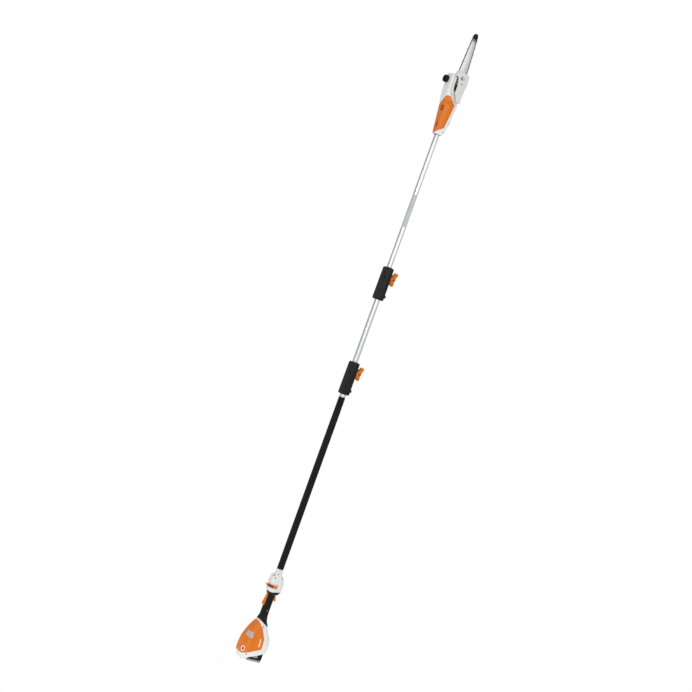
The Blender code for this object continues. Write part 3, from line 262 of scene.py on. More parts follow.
def cut_away(bm, planes, keep):
    """Cuts the skin along planes (point, normal) and drops the faces that keep() refuses."""
    for point, normal in planes:
        geom = bm.verts[:] + bm.edges[:] + bm.faces[:]
        bmesh.ops.bisect_plane(bm, geom=geom, dist=1e-5, plane_co=point, plane_no=normal)
    dropped = [f for f in bm.faces if not keep(f.calc_center_median())]
    bmesh.ops.delete(bm, geom=dropped, context="FACES")
    bmesh.ops.remove_doubles(bm, verts=bm.verts, dist=4e-5)
    return bm


def finished(
    name, bm, material, body, slot, *nodes, wall=0.0, rounding=0.0, cutter=None, sharp=35, level=False
):
    """A bmesh as a piece that rides on a body and stands for CAD nodes, with its wall, wells and edges."""
    mesh = bpy.data.meshes.new(name)
    bm.to_mesh(mesh)
    bm.free()
    mesh.materials.append(material)
    obj = bpy.data.objects.new(name, mesh)
    bpy.context.scene.collection.objects.link(obj)
    if wall:
        solid = obj.modifiers.new("wall", "SOLIDIFY")
        solid.thickness, solid.offset, solid.use_even_offset = wall, -1.0, True
    if cutter:
        helper = bpy.data.objects.new("cutter", bpy.data.meshes.new("cutter"))
        cutter.to_mesh(helper.data)
        cutter.free()
        bpy.context.scene.collection.objects.link(helper)
        cut = obj.modifiers.new("wells", "BOOLEAN")
        cut.operation, cut.object, cut.use_self = "DIFFERENCE", helper, True
    if rounding:
        edge = obj.modifiers.new("edges", "BEVEL")
        edge.width, edge.segments, edge.limit_method = rounding, 2, "ANGLE"
        edge.angle_limit = math.radians(38)
    shaped = bpy.data.meshes.new_from_object(obj.evaluated_get(bpy.context.evaluated_depsgraph_get()))
    obj.modifiers.clear()
    obj.data = shaped
    shaped.name = name
    bpy.data.meshes.remove(mesh)
    if cutter:
        bpy.data.meshes.remove(helper.data)
    shaped.shade_smooth()
    shaped.set_sharp_from_angle(angle=math.radians(sharp))
    if level:
        evened = obj.modifiers.new("normals", "WEIGHTED_NORMAL")
        evened.keep_sharp = True
        obj.data = bpy.data.meshes.new_from_object(obj.evaluated_get(bpy.context.evaluated_depsgraph_get()))
        obj.modifiers.clear()
        bpy.data.meshes.remove(shaped)
        obj.data.name = name
    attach(obj, body)
    if nodes:
        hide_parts(*nodes)


def spun(profile, steps=32, origin=(0, 0, 0), axis=(0, 0, 1), into=None):
    """Spins an open or closed outline of (radius, height) about an axis, with its poles closed."""
    bm = bmesh.new()
    verts = [bm.verts.new((r, 0, h)) for r, h in profile]
    for a, b in zip(verts, verts[1:]):
        bm.edges.new((a, b))
    geom = bm.verts[:] + bm.edges[:]
    bmesh.ops.spin(bm, geom=geom, cent=(0, 0, 0), axis=(0, 0, 1), angle=math.tau, steps=steps, use_merge=True)
    bmesh.ops.remove_doubles(bm, verts=bm.verts, dist=1e-6)
    bmesh.ops.recalc_face_normals(bm, faces=bm.faces)
    turn = Vector(axis).to_track_quat("Z", "Y").to_matrix().to_4x4()
    bmesh.ops.transform(bm, matrix=Matrix.Translation(origin) @ turn, verts=bm.verts)
    return joined(into, bm) if into else bm


def pin(radius, low, high):
    """The profile of a plain pin or of the hole for one."""
    return [(0, low), (radius, low), (radius, high), (0, high)]


def joined(bm, other):
    """Adds another bmesh's pieces to bm."""
    carrier = bpy.data.meshes.new("carrier")
    other.to_mesh(carrier)
    other.free()
    bm.from_mesh(carrier)
    bpy.data.meshes.remove(carrier)
    return bm


def rounded(bm, geom, offset, segments, affect="EDGES"):
    bmesh.ops.bevel(bm, geom=geom, offset=offset, segments=segments, profile=0.5, affect=affect, material=-1)


def block(low, high, bevel=0.0, segments=2, into=None):
    """A box between two corners, given in any order, with rounded edges."""
    bm = bmesh.new()
    bmesh.ops.create_cube(bm, size=1.0)
    low, high = Vector(low), Vector(high)
    size = Vector([abs(a - b) for a, b in zip(low, high)])
    bmesh.ops.scale(bm, vec=size, verts=bm.verts)
    bmesh.ops.translate(bm, vec=(low + high) / 2, verts=bm.verts)
    if bevel:
        rounded(bm, bm.edges[:], bevel, segments)
    return joined(into, bm) if into else bm


SHELL_WALL, JOINT = 0.0026, 0.0004
base_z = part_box("base_foot")[0].z
# Height above the bottom, reach towards the top and the underside of the tool, half depth, corner.
BASE_SHAPE = (
    (0.0010, 0.066, 0.066, 0.024, 0.016),
    (0.0060, 0.071, 0.071, 0.034, 0.020),
    (0.0160, 0.0745, 0.0745, 0.0475, 0.023),
    (0.0300, 0.0745, 0.0748, 0.0585, 0.024),
    (0.0450, 0.0745, 0.0750, 0.0650, 0.024),
    (0.0610, 0.0745, 0.075, 0.067, 0.024),
    (0.0900, 0.073, 0.075, 0.066, 0.024),
    (0.1200, 0.070, 0.074, 0.064, 0.024),
    (0.1490, 0.064, 0.069, 0.059, 0.024),
    (0.1780, 0.056, 0.055, 0.052, 0.023),
    (0.2070, 0.0455, 0.039, 0.044, 0.022),
    (0.2370, 0.031, 0.025, 0.033, 0.020),
    (0.2510, 0.022, 0.018, 0.024, 0.0155),
)
base_stations = [(base_z + h, -top, under, -deep, deep, r) for h, top, under, deep, r in BASE_SHAPE]
# A point in X and height on each plane round the orange cover, and the way out of the cover there.
# The lower edge rises from the middle towards both sides.
COVER_LINES = (
    ((-0.073, 0.034), (0.395, 0.14, -0.919)),
    ((-0.073, 0.034), (0.395, -0.14, -0.919)),
    ((0.026, 0.110), (1.0, 0.0, 0.0)),
    ((0.026, 0.145), (0.917, 0.0, 0.400)),
    ((0.001, 0.202), (0.770, 0.0, 0.638)),
    ((-0.030, 0.2385), (0.10, 0.0, 0.995)),
)
WINDOW_X, WINDOW_HEIGHT, WINDOW_SLOPE = -0.034, 0.024, 0.47


def cover_distance(c):
    """Distance of a point outside the cover's outline; negative inside it."""
    return max((c - Vector((x, 0, base_z + h))).dot(Vector(out).normalized()) for (x, h), out in COVER_LINES)


def cover_planes(offset):
    planes = []
    for (x, h), out in COVER_LINES:
        out = Vector(out).normalized()
        planes.append((Vector((x, 0, base_z + h)) + out * offset, out))
    return planes


def in_window(c):
    return c.x > WINDOW_X and c.z < base_z + WINDOW_HEIGHT + WINDOW_SLOPE * (c.x - WINDOW_X)


window_planes = [
    ((WINDOW_X, 0, 0), (1, 0, 0)),
    ((WINDOW_X, 0, base_z + WINDOW_HEIGHT), (-WINDOW_SLOPE, 0, 1)),
]
white_abs = moulded("white_moulded_abs", "#F3F3F1", "#EAEAE8", 0.36)


def sunk_screw(at, side, r, wells, heads):
    """A screw head with its round recess, and the well that it sits in."""
    well = pin(r + 0.0006, -0.002, 0.02)
    spun(well, 20, at, (0, side, 0), into=wells)
    head = [
        (0, -0.0014), (r * 0.42, -0.0014), (r * 0.46, 0), (r * 0.85, 0), (r, -0.0006), (r + 0.0012, -0.0012)
    ]
    head += [(r + 0.0012, -0.0020), (0, -0.0020)]
    spun(head, 12, at, (0, side, 0), into=heads)


# X and height of each case screw, how far from the middle its head sits, and its radius.
BASE_SCREWS = ((0.004, 0.213, 0.0400, 0.0034), (-0.057, 0.0400, 0.0618, 0.0034), (0.066, 0.118, 0.0530, 0.0034))
steel_screw = bmesh.new()
for suffix, side in (("left", 1), ("right", -1)):
    wells = bmesh.new()
    for x, h, y, r in BASE_SCREWS:
        sunk_screw((x, side * y, base_z + h), side, r, wells, steel_screw)
    shell = loft(base_stations)
    cuts = cover_planes(JOINT / 2) + window_planes + [((0, side * JOINT / 2, 0), (0, 1, 0))]
    cut_away(
        shell,
        cuts,
        lambda c, s=side: c.y * s > JOINT / 2 and cover_distance(c) > JOINT / 2 and not in_window(c),
    )
    finished(
        f"base_housing_{suffix}",
        shell,
        white_abs,
        "handle",
        "white_housing",
        f"base_shell_{suffix}",
        wall=SHELL_WALL,
        rounding=0.0005,
        cutter=wells,
    )


# Case screws: zinc-plated steel with a round driver recess, sunk in wells in the housings.
def steel(name, colour, shade, roughness, line=(0.5, 0.5, 0.5), streak=0.12, bump_depth=0.0):
    """Bare or plated metal; line is the size of its polishing marks along X, Y and Z in millimetres."""
    made, tree, shader = principled(name, Metallic=1.0)
    where = add_node(tree, "TexCoord").outputs["Object"]
    drawn = add_node(tree, "Mapping", Vector=where, Scale=[1000 / size for size in line])
    marks = add_node(tree, "TexNoise", Vector=drawn.outputs[0], Scale=1.0, Detail=3.0, Roughness=0.65)
    cloud = add_node(tree, "TexNoise", Vector=where, Scale=1000 / 45, Detail=3.0)
    tint = add_node(tree, "MixRGB", Fac=cloud.outputs["Fac"], Color1=linear(colour), Color2=linear(shade))
    rough = add_node(
        tree,
        "MapRange",
        Value=marks.outputs["Fac"],
        From_Min=0.25,
        From_Max=0.75,
        To_Min=roughness - streak,
        To_Max=roughness + streak,
    )
    tree.links.new(tint.outputs[0], shader.inputs["Base Color"])
    tree.links.new(rough.outputs[0], shader.inputs["Roughness"])
    if bump_depth:
        bump = add_node(tree, "Bump", Height=marks.outputs["Fac"], Strength=0.5, Distance=bump_depth / 1000)
        tree.links.new(bump.outputs[0], shader.inputs["Normal"])
    return made


zinc_steel = steel("zinc_plated_steel", "#6A6C6E", "#56585A", 0.36)
finished("base_case_screws", steel_screw, zinc_steel, "handle", "dark_steel")

# ---- Base cover: an orange ABS shell clipped over the housing, a little proud of it, with a broad
# flute down each side. It is moulded in the maker's bright orange and has a light satin finish.
orange_abs = moulded("orange_moulded_abs", "#EA7C14", "#E27410", 0.35, grain=1.1, specular=0.32)
COVER_PROUD = 0.0008
# X of the flute's lines and how deep it is at each.
FLUTE = ((-0.046, 0.0), (-0.040, 0.0016), (-0.033, 0.0034), (-0.025, 0.0038), (-0.017, 0.0022), (-0.008, 0.0))
FLUTE_FADE = (0.130, 0.196)


def proud(stations, by):
    """The same stations, larger all round."""
    return [(z, x0 - by, x1 + by, y0 - by, y1 + by, r + by) for z, x0, x1, y0, y1, r in stations]


cover = loft(proud(base_stations, COVER_PROUD), steps=12, per_gap=5)
cut_away(
    cover,
    cover_planes(-JOINT / 2) + [((x, 0, 0), (1, 0, 0)) for x, _ in FLUTE],
    lambda c: cover_distance(c) < -JOINT / 2,
)
cover.normal_update()
for v in cover.verts:
    deep = max((d for x, d in FLUTE if abs(v.co.x - x) < 1e-5), default=0.0)
    deep *= min(1.0, max(0.0, (abs(v.normal.y) - 0.80) / 0.15))
    height = (v.co.z - base_z - FLUTE_FADE[0]) / (FLUTE_FADE[1] - FLUTE_FADE[0])
    v.co.y -= math.copysign(deep * min(1.0, max(0.0, 1.0 - height)), v.co.y)
finished(
    "base_side_cover",
    cover,
    orange_abs,
    "handle",
    "orange_cover",
    "base_cover",
    wall=SHELL_WALL,
    rounding=0.0006,
    sharp=30,
)

# ---- Rating plate: a blank satin film stuck round the front corner of the base cover.
# It has plain pale and grey bands, and follows the cover's own curve.
film, tree, shader = principled("satin_label_film", Roughness=0.42, IOR=1.5)
where = add_node(tree, "TexCoord").outputs["Object"]
print_grain = add_node(tree, "TexNoise", Vector=where, Scale=1000 / 1.5, Detail=2.0)
bands = add_node(
    tree, "TexWave", {"bands_direction": "Z"}, Vector=where, Scale=1000 / 7.4 / 6.2832 * 2, Distortion=0.0
)
tone = add_node(tree, "MapRange", Value=bands.outputs["Fac"], From_Min=0.55, From_Max=0.75, To_Max=0.80)
tint = add_node(tree, "MixRGB", Fac=tone.outputs[0], Color1=linear("#D2D3D5"), Color2=linear("#55575B"))
gloss = add_node(tree, "MapRange", Value=print_grain.outputs["Fac"], To_Min=0.3, To_Max=0.5)
tree.links.new(tint.outputs[0], shader.inputs["Base Color"])
tree.links.new(gloss.outputs[0], shader.inputs["Roughness"])
PLATE_HEIGHTS, PLATE_EDGES = (0.139, 0.170), (-0.0515, 0.0020)
label = loft(proud(base_stations, COVER_PROUD + 0.0003), steps=16, per_gap=8)
plate_planes = [((0, 0, base_z + h), (0, 0, 1)) for h in PLATE_HEIGHTS]
plate_planes += [((PLATE_EDGES[0], 0, 0), (1, 0, 0)), ((0, PLATE_EDGES[1], 0), (0, 1, 0))]
cut_away(
    label,
    plate_planes,
    lambda c: PLATE_HEIGHTS[0] < c.z - base_z < PLATE_HEIGHTS[1]
    and c.x < PLATE_EDGES[0]
    and c.y < PLATE_EDGES[1],
)
finished("blank_rating_plate", label, film, "handle", "grey_plastic", wall=0.0006)

# Painted highlight: a white ABS strip let into the side of the base cover, wider at its foot.
window = loft(proud(base_stations, COVER_PROUD + 0.0003), steps=12, per_gap=6)
HIGHLIGHT_LOW, HIGHLIGHT_TOP = base_z + 0.097, base_z + 0.146
highlight_edges = (((0.0000, 0, HIGHLIGHT_LOW), (-1.0, 0, 0.02)), ((0.0095, 0, HIGHLIGHT_LOW), (1.0, 0, 0.085)))
highlight_edges += (((0, 0, HIGHLIGHT_LOW), (0.3, 0, -1.0)), ((0, 0, HIGHLIGHT_TOP), (0.2, 0, 1.0)))
cut_away(
    window,
    [*highlight_edges, ((0, 0, 0), (0, 1, 0))],
    lambda c: c.y < 0 and all((c - Vector(p)).dot(Vector(out)) < 0 for p, out in highlight_edges),
)
finished("painted_highlight_strip", window, white_abs, "handle", "white_housing", wall=0.0007)

# ---- Charge button: a round translucent red button in a white ring, low on the base cover.
# Both are small ABS mouldings snapped in from behind.
BUTTON_AT, BUTTON_AXIS = (-0.0764, -0.0375, base_z + 0.064), (-0.96, -0.28, 0)
ring_profile = [(0.0095, -0.005), (0.0095, 0.0012), (0.0104, 0.0017), (0.0146, 0.0017), (0.0158, 0.0008)]
ring_profile += [(0.0162, -0.006), (0.0095, -0.005)]
finished(
    "charge_button_ring", spun(ring_profile, 40, BUTTON_AT, BUTTON_AXIS), white_abs, "handle", "white_housing"
)
red_abs = moulded("dark_red_moulded_abs", "#A8200F", "#8E180C", 0.3, grain=1.0)
dome = [(0, 0.0012), (0.003, 0.0011), (0.0065, 0.0006), (0.0088, -0.0002), (0.0092, -0.002), (0, -0.002)]
finished("charge_button", spun(dome, 32, BUTTON_AT, BUTTON_AXIS), red_abs, "handle", "orange_cover")

# ---- Foot: a black plate under the housing that keeps the shell off the ground,
# moulded in a soft black TPE with shallow anti-slip grooves across it.
rubber = moulded("black_rubbery_tpe", "#141415", "#0F0F10", 0.62, grain=1.3, depth=0.08, ior=1.5, specular=0.18)
foot_low, foot_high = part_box("base_foot")
RIB_PITCH = 0.008
FOOT_HALF = 0.022  # the feet run in from the housing's rounded lower edge
foot = block((foot_low.x, -FOOT_HALF, foot_low.z), (foot_high.x, FOOT_HALF, foot_high.z), 0.0012)
grooves = bmesh.new()
count = int((2 * FOOT_HALF - 0.012) / RIB_PITCH)
for i in range(count):
    y = 0.008 - FOOT_HALF + i * RIB_PITCH
    block(
        (foot_low.x + 0.004, y, foot_low.z - 0.01),
        (foot_high.x - 0.003, y + 0.0025, foot_low.z + 0.0008),
        into=grooves,
    )
finished("base_foot_plate", foot, rubber, "handle", "black_plastic", "base_foot", cutter=grooves)

# ---- Battery: a glass-filled nylon pack that slides up into the base, with grooves along its
# sides, and a grey end plate ribbed for the fingers.
nylon = moulded(
    "black_filled_nylon", "#121213", "#0D0D0E", 0.46, grain=0.7, depth=0.04, ior=1.53, specular=0.18
)
grey_abs = moulded("grey_moulded_abs", "#A9ABAD", "#9C9EA0", 0.45, grain=0.9)
case_low, case_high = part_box("battery_case")
end_low, end_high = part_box("battery_end")
END_PLATE = 0.0125
pack = block((case_low.x, case_low.y, end_low.z + END_PLATE + JOINT), case_high, 0.006, 4)
grooves = bmesh.new()
for h in (0.012, 0.026, 0.040, 0.054):
    for side, edge in ((-1, case_low.y), (1, case_high.y)):
        a = (case_low.x + 0.038, edge + side * 0.01, case_low.z + h)
        block(a, (case_high.x - 0.007, edge - side * 0.0016, case_low.z + h + 0.005), into=grooves)
    end = (case_high.x - 0.0016, -0.030, case_low.z + h)
    block(end, (case_high.x + 0.01, 0.030, case_low.z + h + 0.005), into=grooves)
for suffix, side in (("left", 1), ("right", -1)):
    low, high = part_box(f"battery_latch_{suffix}")
    inner = min(abs(low.y), abs(high.y)) - 0.0029
    block(
        (low.x - 0.0005, side * inner, low.z - 0.0005),
        (high.x + 0.0005, side * 0.06, high.z + 0.0005),
        into=grooves,
    )
finished("battery_pack", pack, nylon, "battery", "black_plastic", "battery_case", cutter=grooves)
end = block(end_low, (end_high.x, end_high.y, end_low.z + END_PLATE), 0.0036, 4)
grooves = bmesh.new()
for i in range(9):
    x = end_low.x + 0.012 + i * 0.0078
    block(
        (x, end_low.y - 0.01, end_low.z + 0.003),
        (x + 0.003, end_low.y + 0.0012, end_low.z + END_PLATE - 0.003),
        into=grooves,
    )
    block(
        (x, end_high.y - 0.0012, end_low.z + 0.003),
        (x + 0.003, end_high.y + 0.01, end_low.z + END_PLATE - 0.003),
        into=grooves,
    )
finished("battery_end_plate", end, grey_abs, "battery", "grey_plastic", "battery_end", cutter=grooves)

# Battery latches: grey ribbed nylon buttons, one on each side, sprung outwards.
for suffix, side in (("left", 1), ("right", -1)):
    low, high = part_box(f"battery_latch_{suffix}")
    face = high.y if side > 0 else low.y
    latch = block(low, high, 0.0014, 3)
    grooves = bmesh.new()
    for i in range(5):
        x = low.x + 0.0045 + i * 0.0048
        block(
            (x, face - side * 0.0009, low.z + 0.003),
            (x + 0.0020, face + side * 0.01, high.z - 0.003),
            into=grooves,
        )
    finished(
        f"battery_latch_button_{suffix}",
        latch,
        grey_abs,
        f"{suffix}_latch",
        "grey_plastic",
        f"battery_latch_{suffix}",
        cutter=grooves,
    )

# ---- Hand grip: two glass-filled nylon halves under a soft black overmould with a fine pebbled
# texture, screwed together through the side. It flares into a skirt over the base and a collar above.
grip_rubber = moulded(
    "black_overmoulded_tpe",
    "#151617",
    "#101011",
    0.56,
    grain=1.6,
    depth=0.14,
    ior=1.5,
    sheen=0.03,
    specular=0.18,
)
grip_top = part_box("grip_shell_left")[1].z
# Height above the base's bottom, or below the grip's top, then X and Y limits and the corner.
GRIP_LOW = (
    (0.2070, -0.0487, 0.0422, 0.0472, 0.0252),
    (0.2370, -0.0342, 0.0282, 0.0362, 0.0232),
    (0.2510, -0.0275, 0.0235, 0.0275, 0.0180),
    (0.2620, -0.0245, 0.0225, 0.0220, 0.0140),
    (0.2760, -0.0215, 0.0215, 0.0175, 0.0122),
    (0.3000, -0.0208, 0.0208, 0.0168, 0.0122),
)
GRIP_HIGH = (
    (-0.0176, -0.0208, 0.0208, 0.0168, 0.0122),
    (-0.0086, -0.0235, 0.0270, 0.0215, 0.0140),
    (-0.0051, -0.0245, 0.0335, 0.0270, 0.0160),
    (0.0000, -0.0255, 0.0350, 0.0292, 0.0170),
    (0.0080, -0.0315, 0.0405, 0.0322, 0.0188),
    (0.0180, -0.0360, 0.0440, 0.0345, 0.0200),
)
grip_stations = [(base_z + h, x0, x1, -y, y, r) for h, x0, x1, y, r in GRIP_LOW]
grip_stations += [(grip_top + h, x0, x1, -y, y, r) for h, x0, x1, y, r in GRIP_HIGH]
SKIRT_AT, SKIRT_OUT = Vector((-0.030, 0, base_z + 0.252)), Vector((0.480, 0, 0.877))
SEAM_AT, SEAM_OUT = Vector((-0.024, 0, grip_top + 0.0002)), Vector((-0.205, 0, 0.979))
lockout_low, lockout_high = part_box("lockout_lever")
trigger_low, trigger_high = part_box("trigger")
SLOT_HALF = lockout_high.y + 0.0014
LOCKOUT_SLOT, TRIGGER_SLOT, SLOT_TOP = -0.006, 0.034, 0.0815


def in_lever_slot(c):
    low = LOCKOUT_SLOT if c.x < 0 else TRIGGER_SLOT
    return abs(c.y) < SLOT_HALF and low < c.z < SLOT_TOP


GRIP_SCREWS = ((0.0050, -0.0240, 0.0172, 0.0042), (0.0035, 0.0850, 0.0270, 0.0034))
steel_screw = bmesh.new()
for suffix, side in (("left", 1), ("right", -1)):
    wells = bmesh.new()
    for x, z, y, r in GRIP_SCREWS:
        well = pin(r + 0.0005, -0.002, 0.02)
        spun(well, 20, (x, side * y, z), (0, side, 0), into=wells)
        head = [
            (0, -0.0012), (r * 0.42, -0.0012), (r * 0.46, 0), (r * 0.85, 0), (r, -0.0005), (r + 0.0010, -0.0012)
        ]
        head += [(r + 0.0010, -0.0020), (0, -0.0020)]
        spun(head, 12, (x, side * (y - 0.0004), z), (0, side, 0), into=steel_screw)
    shell = loft(grip_stations, steps=8)
    planes = [(SKIRT_AT, SKIRT_OUT), (SEAM_AT, SEAM_OUT), ((0, side * JOINT / 2, 0), (0, 1, 0))]
    planes += [((0, edge * SLOT_HALF, 0), (0, 1, 0)) for edge in (1, -1)]
    planes += [((0, 0, z), (0, 0, 1)) for z in (LOCKOUT_SLOT, TRIGGER_SLOT, SLOT_TOP)]
    cut_away(
        shell,
        planes,
        lambda c, s=side: c.y * s > JOINT / 2
        and (c - SKIRT_AT).dot(SKIRT_OUT) > 0
        and (c - SEAM_AT).dot(SEAM_OUT) < 0
        and not in_lever_slot(c),
    )
    finished(
        f"grip_half_{suffix}",
        shell,
        grip_rubber,
        "handle",
        "grip_rubber",
        f"grip_shell_{suffix}",
        wall=0.0024,
        rounding=0.0005,
        cutter=wells,
    )
bright_zinc = steel("bright_zinc_plated_steel", "#D8D9DA", "#C4C5C7", 0.36)
finished("grip_screws", steel_screw, bright_zinc, "handle", "dark_steel")


# ---- Lockout lever and trigger: orange acetal levers that swing on steel pins in the top of the
# grip. Each is one moulding, and the lockout lever has ribs where the hand presses it.
def pushed(bm, made, depth):
    """Moves what an extrusion has made along Y."""
    moved = [g for g in made["geom"] if isinstance(g, bmesh.types.BMVert)]
    bmesh.ops.translate(bm, vec=(0, depth, 0), verts=moved)


def slab(points, y_low, y_high, corner, rim, into=None):
    """An outline in X and Z with its corners rounded, given thickness along Y and rounded rims."""
    bm = bmesh.new()
    bm.faces.new([bm.verts.new((x, y_low, z)) for x, z in points])
    rounded(bm, bm.verts[:], corner, 4, "VERTICES")
    bmesh.ops.remove_doubles(bm, verts=bm.verts, dist=1e-5)
    pushed(bm, bmesh.ops.extrude_face_region(bm, geom=bm.faces[:]), y_high - y_low)
    bmesh.ops.recalc_face_normals(bm, faces=bm.faces)
    if rim:
        rounded(bm, [e for e in bm.edges if abs(e.verts[0].co.y - e.verts[1].co.y) < 1e-9], rim, 3)
    return joined(into, bm) if into else bm


orange_acetal = moulded("orange_moulded_acetal", "#F08418", "#E87A12", 0.32, grain=1.0, ior=1.48, specular=0.35)
lockout_outline = (
    (-0.0078, 0.0768),
    (-0.0205, 0.0798),
    (-0.0272, 0.0756),
    (-0.0300, 0.0560),
    (-0.0345, 0.0330),
    (lockout_low.x + 0.0002, 0.0172),
    (-0.0375, 0.0100),
    (-0.0320, 0.0052),
    (-0.0252, -0.0008),
    (-0.0217, 0.0022),
    (-0.0192, 0.0200),
    (-0.0172, 0.0500),
    (-0.0088, 0.0660),
)
ribs = bmesh.new()
for i in range(4):
    z = 0.0135 + i * 0.0050
    block((-0.0450, -0.02, z), (-0.0362 + i * 0.0011, 0.02, z + 0.0018), into=ribs)
lever = slab(lockout_outline, lockout_low.y, lockout_high.y, 0.0022, 0.0020)
finished("lockout_thumb_lever", lever, orange_acetal, "lockout", "orange_cover", "lockout_lever", cutter=ribs)
trigger_outline = (
    (0.0078, 0.0768),
    (0.0088, 0.0660),
    (0.0180, 0.0550),
    (0.0202, 0.0422),
    (0.0320, 0.0372),
    (0.0385, 0.0378),
    (trigger_high.x - 0.0003, 0.0430),
    (0.0376, 0.0560),
    (0.0312, 0.0700),
    (0.0228, 0.0793),
)
lever = slab(trigger_outline, trigger_low.y, trigger_high.y, 0.0022, 0.0016)
finished("trigger_finger_lever", lever, orange_acetal, "trigger_lever", "orange_cover", "trigger")

# ---- Control housing: two white ABS halves above the grip that hold the switch gear and clamp
# the lower tube, screwed together from the side, with a slot round the top for the slide lock.
control_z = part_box("control_housing_left")[0].z
CONTROL_SHAPE = (
    (0.000, 0.0262, 0.0362, 0.0302, 0.018),
    (0.012, 0.0355, 0.0435, 0.0345, 0.020),
    (0.027, 0.0380, 0.0460, 0.0360, 0.020),
    (0.058, 0.0390, 0.0455, 0.0360, 0.020),
    (0.082, 0.0380, 0.0385, 0.0330, 0.019),
    (0.099, 0.0345, 0.0310, 0.0280, 0.017),
    (0.110, 0.0240, 0.0215, 0.0215, 0.0125),
    (0.118, 0.0185, 0.0185, 0.0185, 0.0100),
    (0.141, 0.0180, 0.0180, 0.0180, 0.0095),
)
control_stations = [(control_z + h, -t, u, -d, d, r) for h, t, u, d, r in CONTROL_SHAPE]
slider_low, slider_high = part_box("unlock_slider")
SLIDER_TRAVEL, CLEARANCE = 0.008, 0.0012
slot_low, slot_high = slider_low.z - CLEARANCE, slider_high.z + SLIDER_TRAVEL + CLEARANCE
slot_end = slider_high.x + CLEARANCE
# X and height of each screw, how far from the middle its head sits, and its radius.
CONTROL_SCREWS = (
    (-0.0255, 0.088, 0.0282, 0.0034),
    (0.0190, 0.094, 0.0282, 0.0034),
    (-0.0105, 0.1120, 0.0188, 0.0030),
    (-0.0060, 0.1335, 0.0170, 0.0026),
)
steel_screw = bmesh.new()
for suffix, side in (("left", 1), ("right", -1)):
    wells = bmesh.new()
    for x, h, y, r in CONTROL_SCREWS:
        sunk_screw((x, side * y, control_z + h), side, r, wells, steel_screw)
    for i in range(3):
        z = control_z + 0.0960 + i * 0.0045
        block((-0.060, side * 0.0050, z), (-0.025, side * 0.0230, z + 0.0020), into=wells)
    for i in range(4):
        z = control_z + 0.050 + i * 0.0060
        block((0.030, side * 0.0080, z), (0.060, side * 0.0220, z + 0.0024), into=wells)
    shell = loft(control_stations)
    planes = [((0, 0, slot_low), (0, 0, 1)), ((0, 0, slot_high), (0, 0, 1)), ((slot_end, 0, 0), (1, 0, 0))]
    planes += [(SEAM_AT + SEAM_OUT * JOINT, SEAM_OUT), ((0, side * JOINT / 2, 0), (0, 1, 0))]
    cut_away(
        shell,
        planes,
        lambda c, s=side: c.y * s > JOINT / 2
        and (c - SEAM_AT).dot(SEAM_OUT) > JOINT
        and not (c.x < slot_end and slot_low < c.z < slot_high),
    )
    finished(
        f"control_half_{suffix}",
        shell,
        white_abs,
        "handle",
        "white_housing",
        f"control_housing_{suffix}",
        wall=SHELL_WALL,
        rounding=0.0005,
        cutter=wells,
    )
finished("control_screws", steel_screw, zinc_steel, "handle", "dark_steel")

# Inside the vents: a black glass-filled nylon sheet that paints the shade behind the slots.
shade_liner = loft(proud(control_stations, -SHELL_WALL - 0.0003), per_gap=3)
VENT_SHADE_HEIGHTS = (control_z + 0.046, control_z + 0.078, control_z + 0.0925, control_z + 0.1090)
cut_away(
    shade_liner,
    [((0, 0, z), (0, 0, 1)) for z in VENT_SHADE_HEIGHTS] + [
        ((-0.012, 0, 0), (1, 0, 0)), ((0.030, 0, 0), (1, 0, 0))
    ],
    lambda c: (c.x < -0.012 and VENT_SHADE_HEIGHTS[2] < c.z < VENT_SHADE_HEIGHTS[3])
    or (c.x > 0.030 and VENT_SHADE_HEIGHTS[0] < c.z < VENT_SHADE_HEIGHTS[1]),
)
finished("control_vent_shade_liner", shade_liner, nylon, "handle", "black_plastic", wall=0.0010)

# Inside the slot: a white ABS liner that the slide lock runs on.
liner = loft(
    [(z, -0.0335, 0.0400, -0.0305, 0.0305, 0.017) for z in (slot_low - 0.003, slot_high + 0.003)], per_gap=1
)
cut_away(liner, [((0.020, 0, 0), (1, 0, 0))], lambda c: c.x < 0.020)
finished("slide_lock_liner", liner, white_abs, "handle", "white_housing", wall=0.0012)

# ---- Slide lock: a band that slides up in the control housing's slot, orange acetal at its ends,
# with a dark red shell across the top of the tool that is painted shade on the band's shaded side.
station = control_stations[3]
band_station = (station[1] + 0.0015, 0.030, station[3] + 0.0015, station[4] - 0.0015, station[5] - 0.0015)
SPLIT_X = -0.0215
# Name, material, end in X, how far it swells out, its wall, and the CAD node that it stands for.
x0, x1, y0, y1, r = band_station
for name, material, high_x, swell, wall, nodes in (
    ("slide_lock_band", orange_acetal, slider_high.x, 0.0, 0.0045, ["unlock_slider"]),
    # Painted shade: a dark red shell over the orange band's shaded side.
    ("slide_lock_painted_shade", red_abs, SPLIT_X, 0.0007, 0.0016, []),
):
    limits = (x0 - swell, x1, y0 - swell, y1 + swell, r)
    band = loft(
        [(slider_low.z + swell / 2, *limits), (slider_high.z - swell / 2, *limits)], per_gap=1, steps=12
    )
    cut_away(band, [((high_x, 0, 0), (1, 0, 0))], lambda c, h=high_x: c.x < h)
    finished(name, band, material, "unlock_button", "orange_cover", *nodes, wall=wall, rounding=0.0006)
lug = block(
    (slider_low.x, -0.0090, slider_high.z - 0.0072), (x0 + 0.0030, 0.0200, slider_high.z - 0.0012), 0.0024, 4
)
grooves = bmesh.new()
for i in range(3):
    y = -0.0040 + i * 0.0060
    block(
        (slider_low.x - 0.01, y, slider_low.z), (slider_low.x + 0.0010, y + 0.0016, slider_high.z), into=grooves
    )
finished("slide_lock_lug", lug, orange_acetal, "unlock_button", "orange_cover", cutter=grooves)

